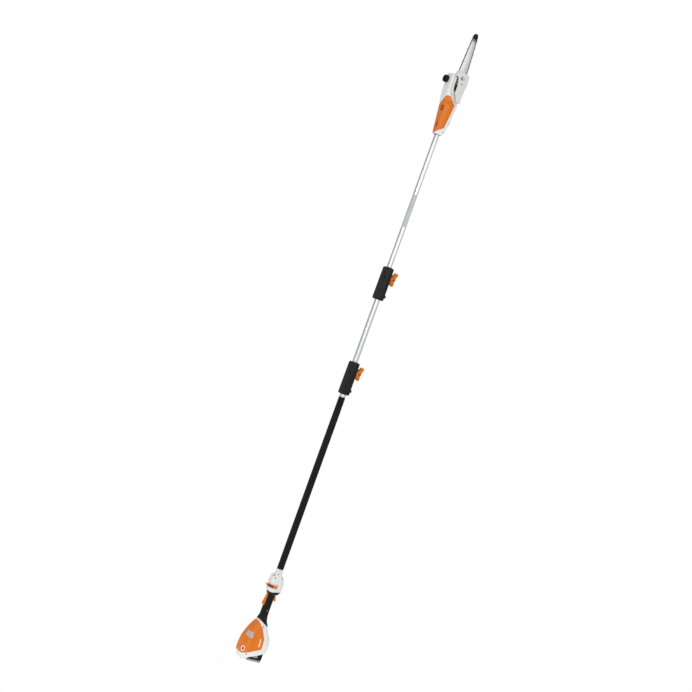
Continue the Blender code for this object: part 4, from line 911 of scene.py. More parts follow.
# ---- Foam sleeve: a black EVA foam tube pushed over the lower tube as the second hand hold.
# Its skin shows open cells about a millimetre across and a dull, slightly dusty surface.
def clouded(name, size, detail, colour, shade, dull, **inputs):
    """A material whose colour and gloss drift over clouds of a size in millimetres; dull is its roughness."""
    made, tree, shader = principled(name, **inputs)
    where = add_node(tree, "TexCoord").outputs["Object"]
    cloud = add_node(tree, "TexNoise", Vector=where, Scale=1000 / size, Detail=detail)
    tint = add_node(tree, "MixRGB", Fac=cloud.outputs["Fac"], Color1=linear(colour), Color2=linear(shade))
    rough = add_node(tree, "MapRange", Value=cloud.outputs["Fac"], To_Min=dull[0], To_Max=dull[1])
    tree.links.new(tint.outputs[0], shader.inputs["Base Color"])
    tree.links.new(rough.outputs[0], shader.inputs["Roughness"])
    return made, tree, shader, where, tint.outputs[0]


foam, tree, shader, where, _ = clouded(
    "black_eva_foam",
    35,
    4.0,
    "#1C1C1D",
    "#131314",
    (0.72, 0.9),
    IOR=1.45,
    Sheen_Weight=0.04,
    Sheen_Roughness=0.5,
    Specular_IOR_Level=0.2,
)
cells = add_node(tree, "TexVoronoi", Vector=where, Scale=1000 / 1.4)
pits = add_node(tree, "MapRange", Value=cells.outputs["Distance"], From_Max=0.6)
bump = add_node(tree, "Bump", Height=pits.outputs[0], Strength=0.7, Distance=0.00025)
tree.links.new(bump.outputs[0], shader.inputs["Normal"])
foam_low, foam_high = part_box("foam_sleeve")
half, corner = foam_high.x, 0.0084
SWELL = 0.0004  # the sleeve is a little fuller along its length than at its ends
sleeve_shape = (
    (foam_low.z, half - 0.0012, corner - 0.0010),
    (foam_low.z + 0.0012, half - 0.0002, corner),
    (foam_low.z + 0.012, half, corner),
    (foam_low.z + 0.25, half + SWELL, corner),
    (foam_high.z - 0.25, half + SWELL, corner),
    (foam_high.z - 0.012, half, corner),
    (foam_high.z - 0.0012, half - 0.0002, corner),
    (foam_high.z, half - 0.0012, corner - 0.0010),
)
sleeve = loft([(z, -w, w, -w, w, r) for z, w, r in sleeve_shape], steps=7, per_gap=3)
finished("foam_hand_sleeve", sleeve, foam, "handle", "foam", "foam_sleeve", wall=0.0013)

# ---- Telescopic tubes: three square tubes of extruded aluminium, satin anodised, each sliding in
# the one below. Die lines run along them and their cut ends are broken by hand.
anodised = steel(
    "satin_anodised_aluminium", "#DFE0E1", "#D2D3D5", 0.34, line=(1.2, 1.2, 90), streak=0.07, bump_depth=0.03
)
for node, name, body, corner in (
    ("lower_tube", "lower_aluminium_tube", "handle", 0.0062),
    ("mid_tube", "middle_aluminium_tube", "middle_shaft", 0.0046),
    ("top_tube", "top_aluminium_tube", "top_shaft_and_head", 0.0030),
):
    low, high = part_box(node)
    shape = [(low.z, low.x, high.x, low.y, high.y, corner), (high.z, low.x, high.x, low.y, high.y, corner)]
    finished(
        name,
        loft(shape, steps=7, per_gap=8),
        anodised,
        body,
        "aluminium_tube",
        node,
        wall=0.0009,
        rounding=0.0002,
    )

# ---- Tube mark: a blank grey vinyl band stuck on the top tube below the head,
# folded over one corner of the tube.
vinyl, *_ = clouded("grey_printed_vinyl", 20, 3.0, "#C9CACC", "#BEBFC1", (0.30, 0.46), IOR=1.5)
tube_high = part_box("top_tube")[1]
BAND_LOW, BAND_LENGTH = tube_high.z - 0.62, 0.20
edge = tube_high.x + 0.00018
band = loft([(BAND_LOW + h, -edge, edge, -edge, edge, 0.0032) for h in (0.0, BAND_LENGTH)], steps=7, per_gap=2)
cut_away(band, [((0, 0.004, 0), (0, 1, 0)), ((0.006, 0, 0), (1, 0, 0))], lambda c: c.y < 0.004 and c.x < 0.006)
finished("blank_tube_band", band, vinyl, "top_shaft_and_head", "grey_plastic", wall=0.00012)

# ---- Tube clamps: two black nylon half shells bolted round each joint of the shaft. The halves
# meet on the middle plane, with sunk screws along the top edge and a bolt lug near the lower end.
CLAMP_HALF, CLAMP_CORNER, CLAMP_LENGTH, STEP_HEIGHT, MOUTH_HEIGHT = 0.0290, 0.015, 0.199, 0.116, 0.183
CLAMP_SHAPE = (
    (0.000, CLAMP_HALF - 0.0055, CLAMP_CORNER - 0.004),
    (0.0025, CLAMP_HALF - 0.0022, CLAMP_CORNER - 0.002),
    (0.006, CLAMP_HALF - 0.0005, CLAMP_CORNER),
    (0.012, CLAMP_HALF, CLAMP_CORNER),
    (CLAMP_LENGTH - 0.010, CLAMP_HALF - 0.0008, CLAMP_CORNER),
    (CLAMP_LENGTH - 0.0045, CLAMP_HALF - 0.0019, CLAMP_CORNER - 0.001),
    (CLAMP_LENGTH - 0.0015, CLAMP_HALF - 0.0040, CLAMP_CORNER - 0.003),
    (CLAMP_LENGTH, CLAMP_HALF - 0.0065, CLAMP_CORNER - 0.004),
)


def sliced(bm, point, normal):
    """Drops what lies beyond a plane from a closed form, and closes the form there."""
    geom = bm.verts[:] + bm.edges[:] + bm.faces[:]
    cut = bmesh.ops.bisect_plane(bm, geom=geom, dist=1e-6, plane_co=point, plane_no=normal, clear_outer=True)
    bmesh.ops.holes_fill(bm, edges=[e for e in cut["geom_cut"] if isinstance(e, bmesh.types.BMEdge)], sides=0)
    bmesh.ops.recalc_face_normals(bm, faces=bm.faces)


CLAMP_SCREW_HEIGHTS = (0.050, 0.136)
LUG_HEIGHT = 0.028
clamp_nylon = moulded(
    "black_clamp_nylon", "#161617", "#101011", 0.38, grain=0.8, depth=0.05, ior=1.53, specular=0.20
)
black_oxide = steel("black_oxide_steel", "#2E2F31", "#232426", 0.42)
for label, body, outer, inner, corner in (
    ("lower", "handle", "lower_tube", "mid_tube", 0.0055),
    ("upper", "middle_shaft", "mid_tube", "top_tube", 0.0040),
):
    z0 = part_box(f"{label}_clamp_left")[0].z
    wide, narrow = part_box(outer)[1].x + 0.0004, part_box(inner)[1].x + 0.0005
    mouth = narrow + 0.0029
    bore_shape = (
        (-0.010, wide),
        (STEP_HEIGHT, wide),
        (STEP_HEIGHT + 0.0002, narrow),
        (MOUTH_HEIGHT, narrow),
        (MOUTH_HEIGHT + 0.0002, mouth),
        (CLAMP_LENGTH + 0.010, mouth),
    )
    steel_screw = bmesh.new()
    for suffix, side in (("left", 1), ("right", -1)):
        shell = loft([(z0 + h, -w, w, -w, w, r) for h, w, r in CLAMP_SHAPE], cap_low=True, cap_high=True)
        sliced(shell, (0, side * JOINT / 2, 0), (0, -side, 0))
        bore = loft(
            [(z0 + h, -w, w, -w, w, corner) for h, w in bore_shape], steps=4, per_gap=1, cap_low=True, cap_high=True
        )
        for h in CLAMP_SCREW_HEIGHTS:
            at = (-0.0215, side * 0.0175, z0 + h)
            spun(pin(0.0044, 0, 0.02), 20, at, (0, side, 0), into=bore)
            head = [
                (0, 0.0016),
                (0.0014, 0.0016),
                (0.0016, 0.0030),
                (0.0030, 0.0030),
                (0.0034, 0.0024),
                (0.0034, -0.001),
            ]
            spun(head + [(0, -0.001)], 12, at, (0, side, 0), into=steel_screw)
        finished(
            f"{label}_clamp_shell_{suffix}",
            shell,
            clamp_nylon,
            body,
            "black_plastic",
            f"{label}_clamp_{suffix}",
            rounding=0.0006,
            cutter=bore,
        )
        lug = [
            (0, 0.0155),
            (0.0050, 0.0155),
            (0.0052, 0.0140),
            (0.0068, 0.0140),
            (0.0070, 0.0155),
            (0.0100, 0.0155),
        ]
        lug += [(0.0112, 0.0147), (0.0115, 0.0130), (0.0115, 0.0004), (0, 0.0004)]
        lug = spun(lug, 32, (CLAMP_HALF - 0.001, 0, z0 + LUG_HEIGHT), (0, side, 0))
        finished(f"{label}_clamp_lug_{suffix}", lug, clamp_nylon, body, "black_plastic")
    finished(f"{label}_clamp_screws", steel_screw, black_oxide, body, "dark_steel")

    # The wiper bush: a grey acetal ring in the clamp's mouth that keeps dirt off the sliding tube.
    low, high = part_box(f"{label}_clamp_bush")
    lip = high.x
    ring = [
        (low.z, lip, corner), (high.z - 0.0016, lip, corner), (high.z - 0.0003, lip - 0.0006, corner - 0.0004)
    ]
    ring += [(high.z, lip - 0.0012, corner - 0.0008)]
    bush = loft([(z, -w, w, -w, w, r) for z, w, r in ring], steps=6, per_gap=2)
    finished(
        f"{label}_wiper_bush",
        bush,
        grey_abs,
        body,
        "grey_plastic",
        f"{label}_clamp_bush",
        wall=lip - narrow - 0.0002,
    )

    # The hand nut: orange nylon with two splayed wings, on a steel stud, and a dark red centre cap.
    stud_z = z0 + 0.141
    twist = Matrix.Translation((0, 0, stud_z)) @ Matrix.Rotation(math.radians(14), 4, "X")
    face, tip, reach = CLAMP_HALF + 0.0012, 0.0700, 0.042
    wing = (
        (face + 0.0050, 0.0090),
        (face + 0.0110, 0.0220),
        (tip - 0.0225, reach - 0.0040),
        (tip - 0.0150, reach),
        (tip - 0.0020, reach - 0.0008),
        (tip, reach - 0.0080),
        (tip - 0.0028, 0.0190),
        (tip - 0.0048, 0.0070),
    )
    outline = list(wing) + [(x, -z) for x, z in reversed(wing)]
    wings = slab(outline, -0.0080, 0.0080, 0.0024, 0.0018)
    bmesh.ops.transform(wings, matrix=twist, verts=wings.verts)
    grooves = bmesh.new()
    for way in (1, -1):
        for i in range(3):
            z = way * (0.0240 + i * 0.0048)
            for side in (1, -1):
                x = face + 0.0150 + i * 0.0030
                block((x, side * 0.0066, z - 0.0009), (x + 0.0150, side * 0.02, z + 0.0009), into=grooves)
    bmesh.ops.transform(grooves, matrix=twist, verts=grooves.verts)
    finished(
        f"{label}_hand_nut_wings",
        wings,
        orange_acetal,
        f"{label}_knob",
        "orange_cover",
        f"{label}_toggle",
        cutter=grooves,
    )
    hub = [
        (0, -0.004), (0.0040, -0.004), (0.0040, 0.0008), (0.0118, 0.0008), (0.0124, 0.0016), (0.0116, 0.0100)
    ]
    hub += [(0.0104, tip - face - 0.0230), (0.0098, tip - face - 0.0220), (0, tip - face - 0.0220)]
    finished(
        f"{label}_hand_nut_hub",
        spun(hub, 36, (face, 0, stud_z), (1, 0, 0)),
        orange_acetal,
        f"{label}_knob",
        "orange_cover",
    )
    cap = [(0, -0.001), (0.0094, -0.001), (0.0098, 0.0004), (0.0098, 0.0166), (0.0090, 0.0176), (0, 0.0180)]
    finished(
        f"{label}_hand_nut_cap",
        spun(cap, 32, (tip - 0.0222, 0, stud_z), (1, 0, 0)),
        red_abs,
        f"{label}_knob",
        "orange_cover",
    )

# ---- Motor head: two white ABS halves that carry the motor, the gears and the bar, and clamp the
# top tube in their neck. Their flat right-hand face is where the bar is bolted on.
head_z, head_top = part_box("head_shell_left")[0].z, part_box("head_shell_left")[1].z
mount_face, shaft_z = -0.030, (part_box("sprocket_shaft")[0].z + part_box("sprocket_shaft")[1].z) / 2
# Height above the head's bottom, X limits, Y limits and corner.
HEAD_SHAPE = (
    (0.000, -0.0240, 0.0205, -0.0200, 0.0200, 0.010),
    (0.006, -0.0262, 0.0230, -0.0215, 0.0215, 0.011),
    (0.024, -0.0280, 0.0300, -0.0250, 0.0250, 0.013),
    (0.088, -0.0325, 0.0420, -0.0330, 0.0330, 0.016),
    (0.135, -0.0360, 0.0430, -0.0380, 0.0380, 0.018),
    (0.181, -0.0410, 0.0460, -0.0410, 0.0410, 0.018),
    (0.193, -0.0430, 0.0460, -0.0360, 0.0420, 0.016),
    (0.203, -0.0445, 0.0460, mount_face, 0.0430, 0.014),
    (0.250, -0.0495, 0.0430, mount_face, 0.0450, 0.013),
    (0.365, -0.0510, 0.0400, mount_face, 0.0450, 0.012),
    (0.374, -0.0495, 0.0385, mount_face + 0.001, 0.0435, 0.011),
    (0.378, -0.0460, 0.0350, mount_face + 0.003, 0.0400, 0.009),
)
head_stations = [(head_z + h, *limits) for h, *limits in HEAD_SHAPE]
# A point on each plane round the orange motor cover, and the way out of the cover there.
MOTOR_PLANES = (
    ((-0.0270, -0.0380, head_z + 0.239), (0.0, 0.703, 0.711)),
    ((-0.0270, -0.0380, head_z + 0.239), (0.687, 0.0, 0.727)),
    ((0.0216, 0, head_z + 0.193), (0.998, 0, -0.068)),
    ((-0.0240, -0.0220, head_z + 0.0187), (0.564, -0.339, -0.752)),
    ((0, 0.030, 0), (0, 1, 0)),
)
COVER_JOINT = 0.0014
TANK_FLOOR, TANK_SIDE = head_z + 0.250, -0.0255
SLOPE, SLOPE_FROM_X, SLOPE_FROM_Z = 0.23, 0.015, head_z + 0.340


def slope_top(bm):
    """Makes the head's top fall towards the oil tank's side."""
    geom = bm.verts[:] + bm.edges[:] + bm.faces[:]
    bmesh.ops.bisect_plane(bm, geom=geom, dist=1e-5, plane_co=(SLOPE_FROM_X, 0, 0), plane_no=(1, 0, 0))
    for v in bm.verts:
        share = max(0.0, v.co.z - SLOPE_FROM_Z) / (head_top - SLOPE_FROM_Z)
        v.co.z -= share * SLOPE * max(0.0, SLOPE_FROM_X - v.co.x)


def motor_distance(c):
    """Distance of a point outside the motor cover's outline; negative inside it."""
    return max((c - Vector(point)).dot(Vector(out).normalized()) for point, out in MOTOR_PLANES)


def motor_planes(offset):
    return [(Vector(p) + Vector(out).normalized() * offset, out) for p, out in MOTOR_PLANES]


# X and height of each screw in the right half, the Y of its well's floor, and its radius.
HEAD_SCREWS = (
    (0.0385, 0.1900, -0.0325, 0.0032),
    (0.0335, 0.0850, -0.0285, 0.0032),
    (0.0235, 0.0225, -0.0222, 0.0030),
    (-0.0195, 0.2440, mount_face + 0.0012, 0.0030),
)
steel_screw = bmesh.new()
for suffix, side in (("left", 1), ("right", -1)):
    wells = bmesh.new()
    if side < 0:
        for x, h, y, r in HEAD_SCREWS:
            well = pin(r + 0.0006, 0, 0.02)
            spun(well, 20, (x, y, head_z + h), (0, -1, 0), into=wells)
            head = [
                (0, 0.0004),
                (r * 0.42, 0.0004),
                (r * 0.46, 0.0016),
                (r * 0.85, 0.0016),
                (r, 0.0010),
                (r, -0.001),
            ]
            spun(head + [(0, -0.001)], 12, (x, y, head_z + h), (0, -1, 0), into=steel_screw)
        hole = pin(0.0165, -0.02, 0.006)
        spun(hole, 40, (0, mount_face, shaft_z), (0, -1, 0), into=wells)
    else:
        for i in range(7):
            z = head_z + 0.098 + i * 0.0075
            block((-0.020 + i * 0.0008, 0.030, z), (0.020 + i * 0.0008, 0.060, z + 0.0030), into=wells)
    shell = loft(head_stations, cap_high=True)
    slope_top(shell)
    planes = motor_planes(COVER_JOINT / 2) + [((0, 0, TANK_FLOOR - JOINT), (0, 0, 1))]
    planes += [((TANK_SIDE + JOINT, 0, 0), (1, 0, 0)), ((0, side * JOINT / 2, 0), (0, 1, 0))]
    cut_away(
        shell,
        planes,
        lambda c, s=side: c.y * s > JOINT / 2
        and motor_distance(c) > COVER_JOINT / 2
        and not (c.x < TANK_SIDE + JOINT and c.z > TANK_FLOOR - JOINT),
    )
    finished(
        f"head_half_{suffix}",
        shell,
        white_abs,
        "top_shaft_and_head",
        "white_housing",
        f"head_shell_{suffix}",
        wall=SHELL_WALL,
        rounding=0.0005,
        cutter=wells,
    )
finished("head_screws", steel_screw, zinc_steel, "top_shaft_and_head", "dark_steel")

# Neck collar: a black rubber seal that fills the neck round the top tube.
collar_low = head_stations[0]
rim = 0.0022
tube_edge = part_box("top_tube")[1].x + 0.0003
collar = [
    collar_low[1] + rim, collar_low[2] - rim, collar_low[3] + rim, collar_low[4] - rim, collar_low[5] - rim
]
collar = loft([(head_z + h, *collar) for h in (0.0008, 0.0120)], per_gap=1, cap_low=True, cap_high=True)
bore_low, bore_high = (-tube_edge, -tube_edge, head_z - 0.01), (tube_edge, tube_edge, head_z + 0.03)
finished(
    "head_neck_seal",
    collar,
    rubber,
    "top_shaft_and_head",
    "black_plastic",
    cutter=block(bore_low, bore_high, 0.003, 3),
)

# Bar guard: a white ABS fence moulded on the right half that screens the back run of the chain.
FENCE = (
    (-0.0345, 0.3460),
    (-0.0345, 0.2960),
    (-0.0300, 0.2700),
    (-0.0180, 0.2440),
    (-0.0060, 0.2260),
    (0.0080, 0.2105),
)
FENCE_DEPTH = 0.0210
fence = bmesh.new()
verts = [fence.verts.new((x, mount_face + 0.0008, head_z + h)) for x, h in FENCE]
for a, b in zip(verts, verts[1:]):
    fence.edges.new((a, b))
rounded(fence, verts[1:-1], 0.006, 4, "VERTICES")
pushed(fence, bmesh.ops.extrude_edge_only(fence, edges=fence.edges[:]), -FENCE_DEPTH)
bmesh.ops.recalc_face_normals(fence, faces=fence.faces)
if fence.faces[0].normal.x > 0:
    bmesh.ops.reverse_faces(fence, faces=fence.faces[:])
finished(
    "bar_guard_fence", fence, white_abs, "top_shaft_and_head", "white_housing", wall=0.0022, rounding=0.0005
)

# ---- Motor cover: an orange ABS shell let into the head, proud of the white round it, with two rows
# of cooling louvres in its back, each closed from behind by a black nylon sheet that paints the shade in the slots.
cover = loft(proud(head_stations, COVER_PROUD), steps=12, per_gap=5)
cut_away(cover, motor_planes(-COVER_JOINT / 2), lambda c: motor_distance(c) < -COVER_JOINT / 2)
louvres = bmesh.new()
# Lowest height, X that the slots reach, and Y limits of each group of slots.
for low, deep, y_low, y_high in ((0.1385, -0.030, -0.0300, 0.0010), (0.0400, -0.022, -0.0160, -0.0010)):
    for i in range(6):
        z = head_z + low + i * 0.0055
        block((-0.060, y_low, z), (deep, y_high, z + 0.0032), into=louvres)
    # Painted shade: a black sheet behind each row of slots, so that the slots read dark.
    shade_sheet = loft(proud(head_stations, COVER_PROUD - SHELL_WALL - 0.0002), per_gap=2)
    limits = ((0, 0, head_z + low - 0.004), (0, 0, 1)), ((0, 0, head_z + low + 0.037), (0, 0, 1))
    limits += ((0, y_low - 0.003, 0), (0, 1, 0)), ((0, y_high + 0.003, 0), (0, 1, 0)), (
        (-0.020, 0, 0), (1, 0, 0)
    )
    cut_away(
        shade_sheet,
        limits,
        lambda c, z=head_z + low, y0=y_low, y1=y_high: z - 0.004 < c.z < z + 0.037
        and y0 - 0.003 < c.y < y1 + 0.003
        and c.x < -0.020,
    )
    finished(
        f"louvre_shade_sheet_{'upper' if low > 0.1 else 'lower'}",
        shade_sheet,
        nylon,
        "top_shaft_and_head",
        "black_plastic",
        wall=0.0010,
    )
finished(
    "orange_motor_cover",
    cover,
    orange_abs,
    "top_shaft_and_head",
    "orange_cover",
    "motor_cover",
    wall=SHELL_WALL,
    rounding=0.0006,
    cutter=louvres,
    sharp=30,
)

# ---- Oil tank: a blow-moulded tank of natural polyethylene, milky enough for its level to show,
# that fills the head's back top corner. Level marks are sunk in its side.
hdpe, tree, shader, where, _ = clouded(
    "natural_polyethylene",
    40,
    3.0,
    "#F2F2EE",
    "#E4E4DF",
    (0.28, 0.44),
    IOR=1.54,
    Subsurface_Weight=0.35,
    Subsurface_Scale=0.01,
    Subsurface_Radius=(1.0, 0.98, 0.9),
)
skin = add_node(tree, "TexNoise", Vector=where, Scale=1000 / 2.2, Detail=2.0)
bump = add_node(tree, "Bump", Height=skin.outputs["Fac"], Strength=0.4, Distance=0.00003)
tree.links.new(bump.outputs[0], shader.inputs["Normal"])
tank_shape = [(TANK_FLOOR, *HEAD_SHAPE[8][1:])] + head_stations[9:]
tank = loft(tank_shape, cap_low=True, cap_high=True)
slope_top(tank)
sliced(tank, (TANK_SIDE, 0, 0), (1, 0, 0))
cap_low, cap_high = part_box("oil_cap")
cap_at = Vector((cap_high.x, (cap_low.y + cap_high.y) / 2, (cap_low.z + cap_high.z) / 2))
neck = spun(pin(0.0144, -0.002, 0.02), 40, cap_at, (-1, 0, 0))
for i in range(4):
    z = TANK_FLOOR + 0.012 + i * 0.012
    block((-0.0440, -0.034, z), (-0.0340, mount_face + 0.0006, z + 0.0012), into=neck)
finished(
    "milky_oil_tank", tank, hdpe, "top_shaft_and_head", "tank_plastic", "oil_tank", rounding=0.0006, cutter=neck
)

# Filler cap: a black nylon screw cap with a knurled rim and a grip bar across its dished face.
CAP_RADIUS, CAP_DEPTH, KNURLS = 0.0220, cap_high.x - cap_low.x, 30
profile = [
    (0, 0), (0.0136, 0), (0.0136, 0.0056), (0.0205, 0.0056), (CAP_RADIUS - 0.0004, 0.0064), (CAP_RADIUS, 0.0080)
]
profile += [
    (CAP_RADIUS, CAP_DEPTH - 0.0036),
    (CAP_RADIUS - 0.0008, CAP_DEPTH - 0.0016),
    (CAP_RADIUS - 0.0026, CAP_DEPTH),
]
profile += [
    (0.0165, CAP_DEPTH), (0.0155, CAP_DEPTH - 0.0008), (0.0148, CAP_DEPTH - 0.0050), (0, CAP_DEPTH - 0.0054)
]
cap = spun(profile, KNURLS * 4)
for v in cap.verts:
    radius = math.hypot(v.co.x, v.co.y)
    step = round(math.atan2(v.co.y, v.co.x) / math.tau * KNURLS * 4) % 4
    if radius > CAP_RADIUS - 0.0006 and step in (0, 1):
        v.co.x, v.co.y = v.co.x * 0.955, v.co.y * 0.955
block((-0.0150, -0.0032, CAP_DEPTH - 0.0060), (0.0150, 0.0032, CAP_DEPTH - 0.0004), 0.0016, 3, into=cap)
quarter = Matrix.Translation(cap_at) @ Vector((-1, 0, 0)).to_track_quat("Z", "Y").to_matrix().to_4x4()
bmesh.ops.transform(cap, matrix=quarter @ Matrix.Rotation(math.radians(35), 4, "Z"), verts=cap.verts)
finished("knurled_oil_cap", cap, nylon, "filler_cap", "black_plastic", "oil_cap")

# ---- Sprocket cover: a pale grey ABS tray bolted over the drive sprocket with one nut. Its top is
# open for the bar, a window at the back shows the chain, and long flutes stiffen its face.
cover_abs = moulded("pale_grey_moulded_abs", "#E2E2E0", "#D9D9D7", 0.40, grain=0.9)
COVER_FACE, COVER_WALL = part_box("sprocket_cover")[0].y, 0.0024
COVER_OUTLINE = (
    (-0.038, 0.384),
    (0.000, 0.388),
    (0.042, 0.379),
    (0.048, 0.330),
    (0.041, 0.270),
    (0.038, 0.240),
    (0.044, 0.214),
    (0.036, 0.205),
    (0.022, 0.206),
    (0.004, 0.230),
    (-0.013, 0.258),
    (-0.013, 0.303),
    (-0.0225, 0.346),
    (-0.038, 0.354),
)
TRAY_CORNER, TRAY_RIM = 0.0052, 0.0038  # a corner is rounder than the rim, or the rim folds over itself
tray = bmesh.new()
tray.faces.new([tray.verts.new((x, COVER_FACE, head_z + h)) for x, h in COVER_OUTLINE])
rounded(tray, tray.verts[:], TRAY_CORNER, 4, "VERTICES")
pushed(tray, bmesh.ops.extrude_edge_only(tray, edges=tray.edges[:]), mount_face - JOINT - COVER_FACE)
bmesh.ops.recalc_face_normals(tray, faces=tray.faces)
if min(tray.faces, key=lambda f: f.calc_center_median().y).normal.y > 0:
    bmesh.ops.reverse_faces(tray, faces=tray.faces[:])
rims = [e for e in tray.edges if len(e.link_faces) == 2 and abs(e.verts[0].co.y - e.verts[1].co.y) < 1e-6]
rounded(tray, rims, TRAY_RIM, 4)

front = min(tray.faces, key=lambda f: f.calc_center_median().y)
bmesh.ops.inset_individual(tray, faces=[front], thickness=0.0006)


def in_bar_way(c):
    """True on the parts of the tray's wall that are left out for the bar and for the window."""
    top = c.z > head_z + 0.372 and -0.034 < c.x < 0.038
    window = c.x < -0.0105 and head_z + 0.262 < c.z < head_z + 0.352
    return c.y > COVER_FACE + TRAY_RIM + 0.0005 and (top or window)


bmesh.ops.delete(tray, geom=[f for f in tray.faces if in_bar_way(f.calc_center_median())], context="FACES")
stud_z = (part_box("bar_stud")[0].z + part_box("bar_stud")[1].z) / 2
screw_low, screw_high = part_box("tension_screw")
screw_x, screw_z = (screw_low.x + screw_high.x) / 2, (screw_low.z + screw_high.z) / 2
holes = spun(pin(0.005, -0.01, 0.01), 24, (0, COVER_FACE, stud_z), (0, -1, 0))
spun(pin(0.0055, -0.01, 0.01), 24, (screw_x, COVER_FACE, screw_z), (0, -1, 0), into=holes)
# X, lower and upper height and width of each flute in the cover's face.
for x, low, high, width in (
    (0.0075, 0.262, 0.300, 0.0050), (0.0300, 0.226, 0.318, 0.0046), (0.0385, 0.300, 0.362, 0.0040)
):
    ends = [
        (x - width / 2, head_z + low),
        (x - width / 2, head_z + high),
        (x + width / 2, head_z + high),
        (x + width / 2, head_z + low),
    ]
    slab(ends, COVER_FACE - 0.01, COVER_FACE + 0.0010, width * 0.45, 0.0, into=holes)
finished(
    "sprocket_cover_tray",
    tray,
    cover_abs,
    "top_shaft_and_head",
    "cover_plastic",
    "sprocket_cover",
    wall=COVER_WALL,
    rounding=0.0004,
    cutter=holes,
    sharp=30,
    level=True,
)

# Bar stud and nut: a threaded steel stud with a flanged hexagon nut, zinc-plated.
stud = [(0, 0)]
THREAD_PITCH = 0.00125
for i in range(27):
    stud += [(0.0040, i * THREAD_PITCH + 0.0006), (0.00345, i * THREAD_PITCH + 0.00122)]
stud_low, stud_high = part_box("bar_stud")
stud += [(0.0040, 27 * THREAD_PITCH), (0.0034, stud_high.y - stud_low.y), (0, stud_high.y - stud_low.y)]
finished(
    "threaded_bar_stud",
    spun(stud, 20, (0, stud_high.y, stud_z), (0, -1, 0)),
    bright_zinc,
    "top_shaft_and_head",
    "bar_steel",
    "bar_stud",
)
nut_low, nut_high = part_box("bar_nut")
thick = nut_high.y - nut_low.y
flange = [(0.0046, 0), (0.0104, 0), (0.0105, 0.0008), (0.0092, 0.0020), (0.0046, 0.0020), (0.0046, 0)]
nut = spun(flange, 36, (0, nut_high.y, stud_z), (0, -1, 0))
hexagon = [
    (0.0052, 0.0015),
    (0.0085, 0.0015),
    (0.0085, thick - 0.0008),
    (0.0076, thick),
    (0.0052, thick),
    (0.0046, thick - 0.0006),
    (0.0046, 0.0021),
    (0.0052, 0.0015),
]
spun(hexagon, 6, (0, nut_high.y, stud_z), (0, -1, 0), into=nut)
nut_zinc = steel("clear_zinc_plated_steel", "#A4A6A8", "#8E9092", 0.40)
finished("flanged_bar_nut", nut, nut_zinc, "top_shaft_and_head", "dark_steel", "bar_nut")

# Tension screw: a slotted steel screw in the cover that sets how tight the chain is.
long = screw_high.y - screw_low.y
screw = [
    (0, 0),
    (0.0032, 0),
    (0.0032, long - 0.0070),
    (0.0044, long - 0.0064),
    (0.0045, long - 0.0006),
    (0.0039, long),
    (0, long),
]
screw = spun(screw, 32, (screw_x, screw_high.y, screw_z), (0, -1, 0))
slot = block(
    (screw_x - 0.006, screw_low.y - 0.01, screw_z - 0.0006),
    (screw_x + 0.006, screw_low.y + 0.0016, screw_z + 0.0006),
)
bmesh.ops.rotate(
    slot, cent=(screw_x, 0, screw_z), matrix=Matrix.Rotation(math.radians(25), 3, "Y"), verts=slot.verts
)
finished("slotted_tension_screw", screw, nut_zinc, "tensioner", "bar_steel", "tension_screw", cutter=slot)

# ---- Guide bar: three laminations of spring steel welded together, with a chain groove round the
# edge, a roller nose held by rivets and a bolt slot at the tail. Its nose is painted darker as painted shade.
bar_low, bar_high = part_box("guide_bar")
bar_y, bar_half = (bar_low.y + bar_high.y) / 2, (bar_high.y - bar_low.y) / 2
NOSE_RADIUS, tail_z = 0.0100, bar_low.z
nose_z = bar_high.z - NOSE_RADIUS
# Distance below the nose's centre, and the bar's half width there.
BAR_WIDTHS = (
    (0.018, 0.0120), (0.047, 0.0144), (0.106, 0.0184), (0.164, 0.0218), (0.222, 0.0243), (0.262, 0.0243)
)


def bar_edge(offset, steps=9):
    """One side of the bar's outline, from the tip down towards the tail, pushed out by offset."""
    points = []
    for i in range(steps):
        angle = math.radians(90 - 80 * i / (steps - 1))
        radius = NOSE_RADIUS + offset
        points.append((radius * math.cos(angle), nose_z + radius * math.sin(angle)))
    rows = smoothed([[below, half] for below, half in BAR_WIDTHS], 4)
    return points + [(half + offset, nose_z - below) for below, half in rows]


def bar_outline(offset):
    side = bar_edge(offset) + [(0.0215 + offset, tail_z + 0.006), (0.0130, tail_z - offset)]
    return side + [(-x, z) for x, z in reversed(side[1:])]


def painted_shade_towards_nose(tree, shader, where, tint, low, high, colour):
    """Darkens a steel's colour between two heights towards the nose, as painted shade."""
    height = add_node(tree, "SeparateXYZ", Vector=where).outputs["Z"]
    smooth = {"interpolation_type": "SMOOTHSTEP"}
    shade_share = add_node(tree, "MapRange", smooth, Value=height, From_Min=low, From_Max=high)
    painted_shade = add_node(tree, "MixRGB", Fac=shade_share.outputs[0], Color1=tint, Color2=linear(colour))
    tree.links.new(painted_shade.outputs[0], shader.inputs["Base Color"])


bar_steel, tree, shader = principled("ground_bar_steel", Metallic=1.0)
where = add_node(tree, "TexCoord").outputs["Object"]
grind = add_node(tree, "Mapping", Vector=where, Scale=(1000 / 0.8, 1000 / 0.8, 1000 / 30))
marks = add_node(tree, "TexNoise", Vector=grind.outputs[0], Scale=1.0, Detail=3.0, Roughness=0.65)
cloud = add_node(tree, "TexNoise", Vector=where, Scale=1000 / 30, Detail=4.0)
tint = add_node(tree, "MixRGB", Fac=cloud.outputs["Fac"], Color1=linear("#CFCFCE"), Color2=linear("#C4C4C2"))
# Painted shade: the bar's colour darkens towards the nose.
painted_shade_towards_nose(tree, shader, where, tint.outputs[0], nose_z - 0.046, nose_z - 0.010, "#242424")
rough = add_node(
    tree, "MapRange", Value=marks.outputs["Fac"], From_Min=0.25, From_Max=0.75, To_Min=0.42, To_Max=0.56
)
bump = add_node(tree, "Bump", Height=marks.outputs["Fac"], Strength=0.4, Distance=0.00001)
tree.links.new(rough.outputs[0], shader.inputs["Roughness"])
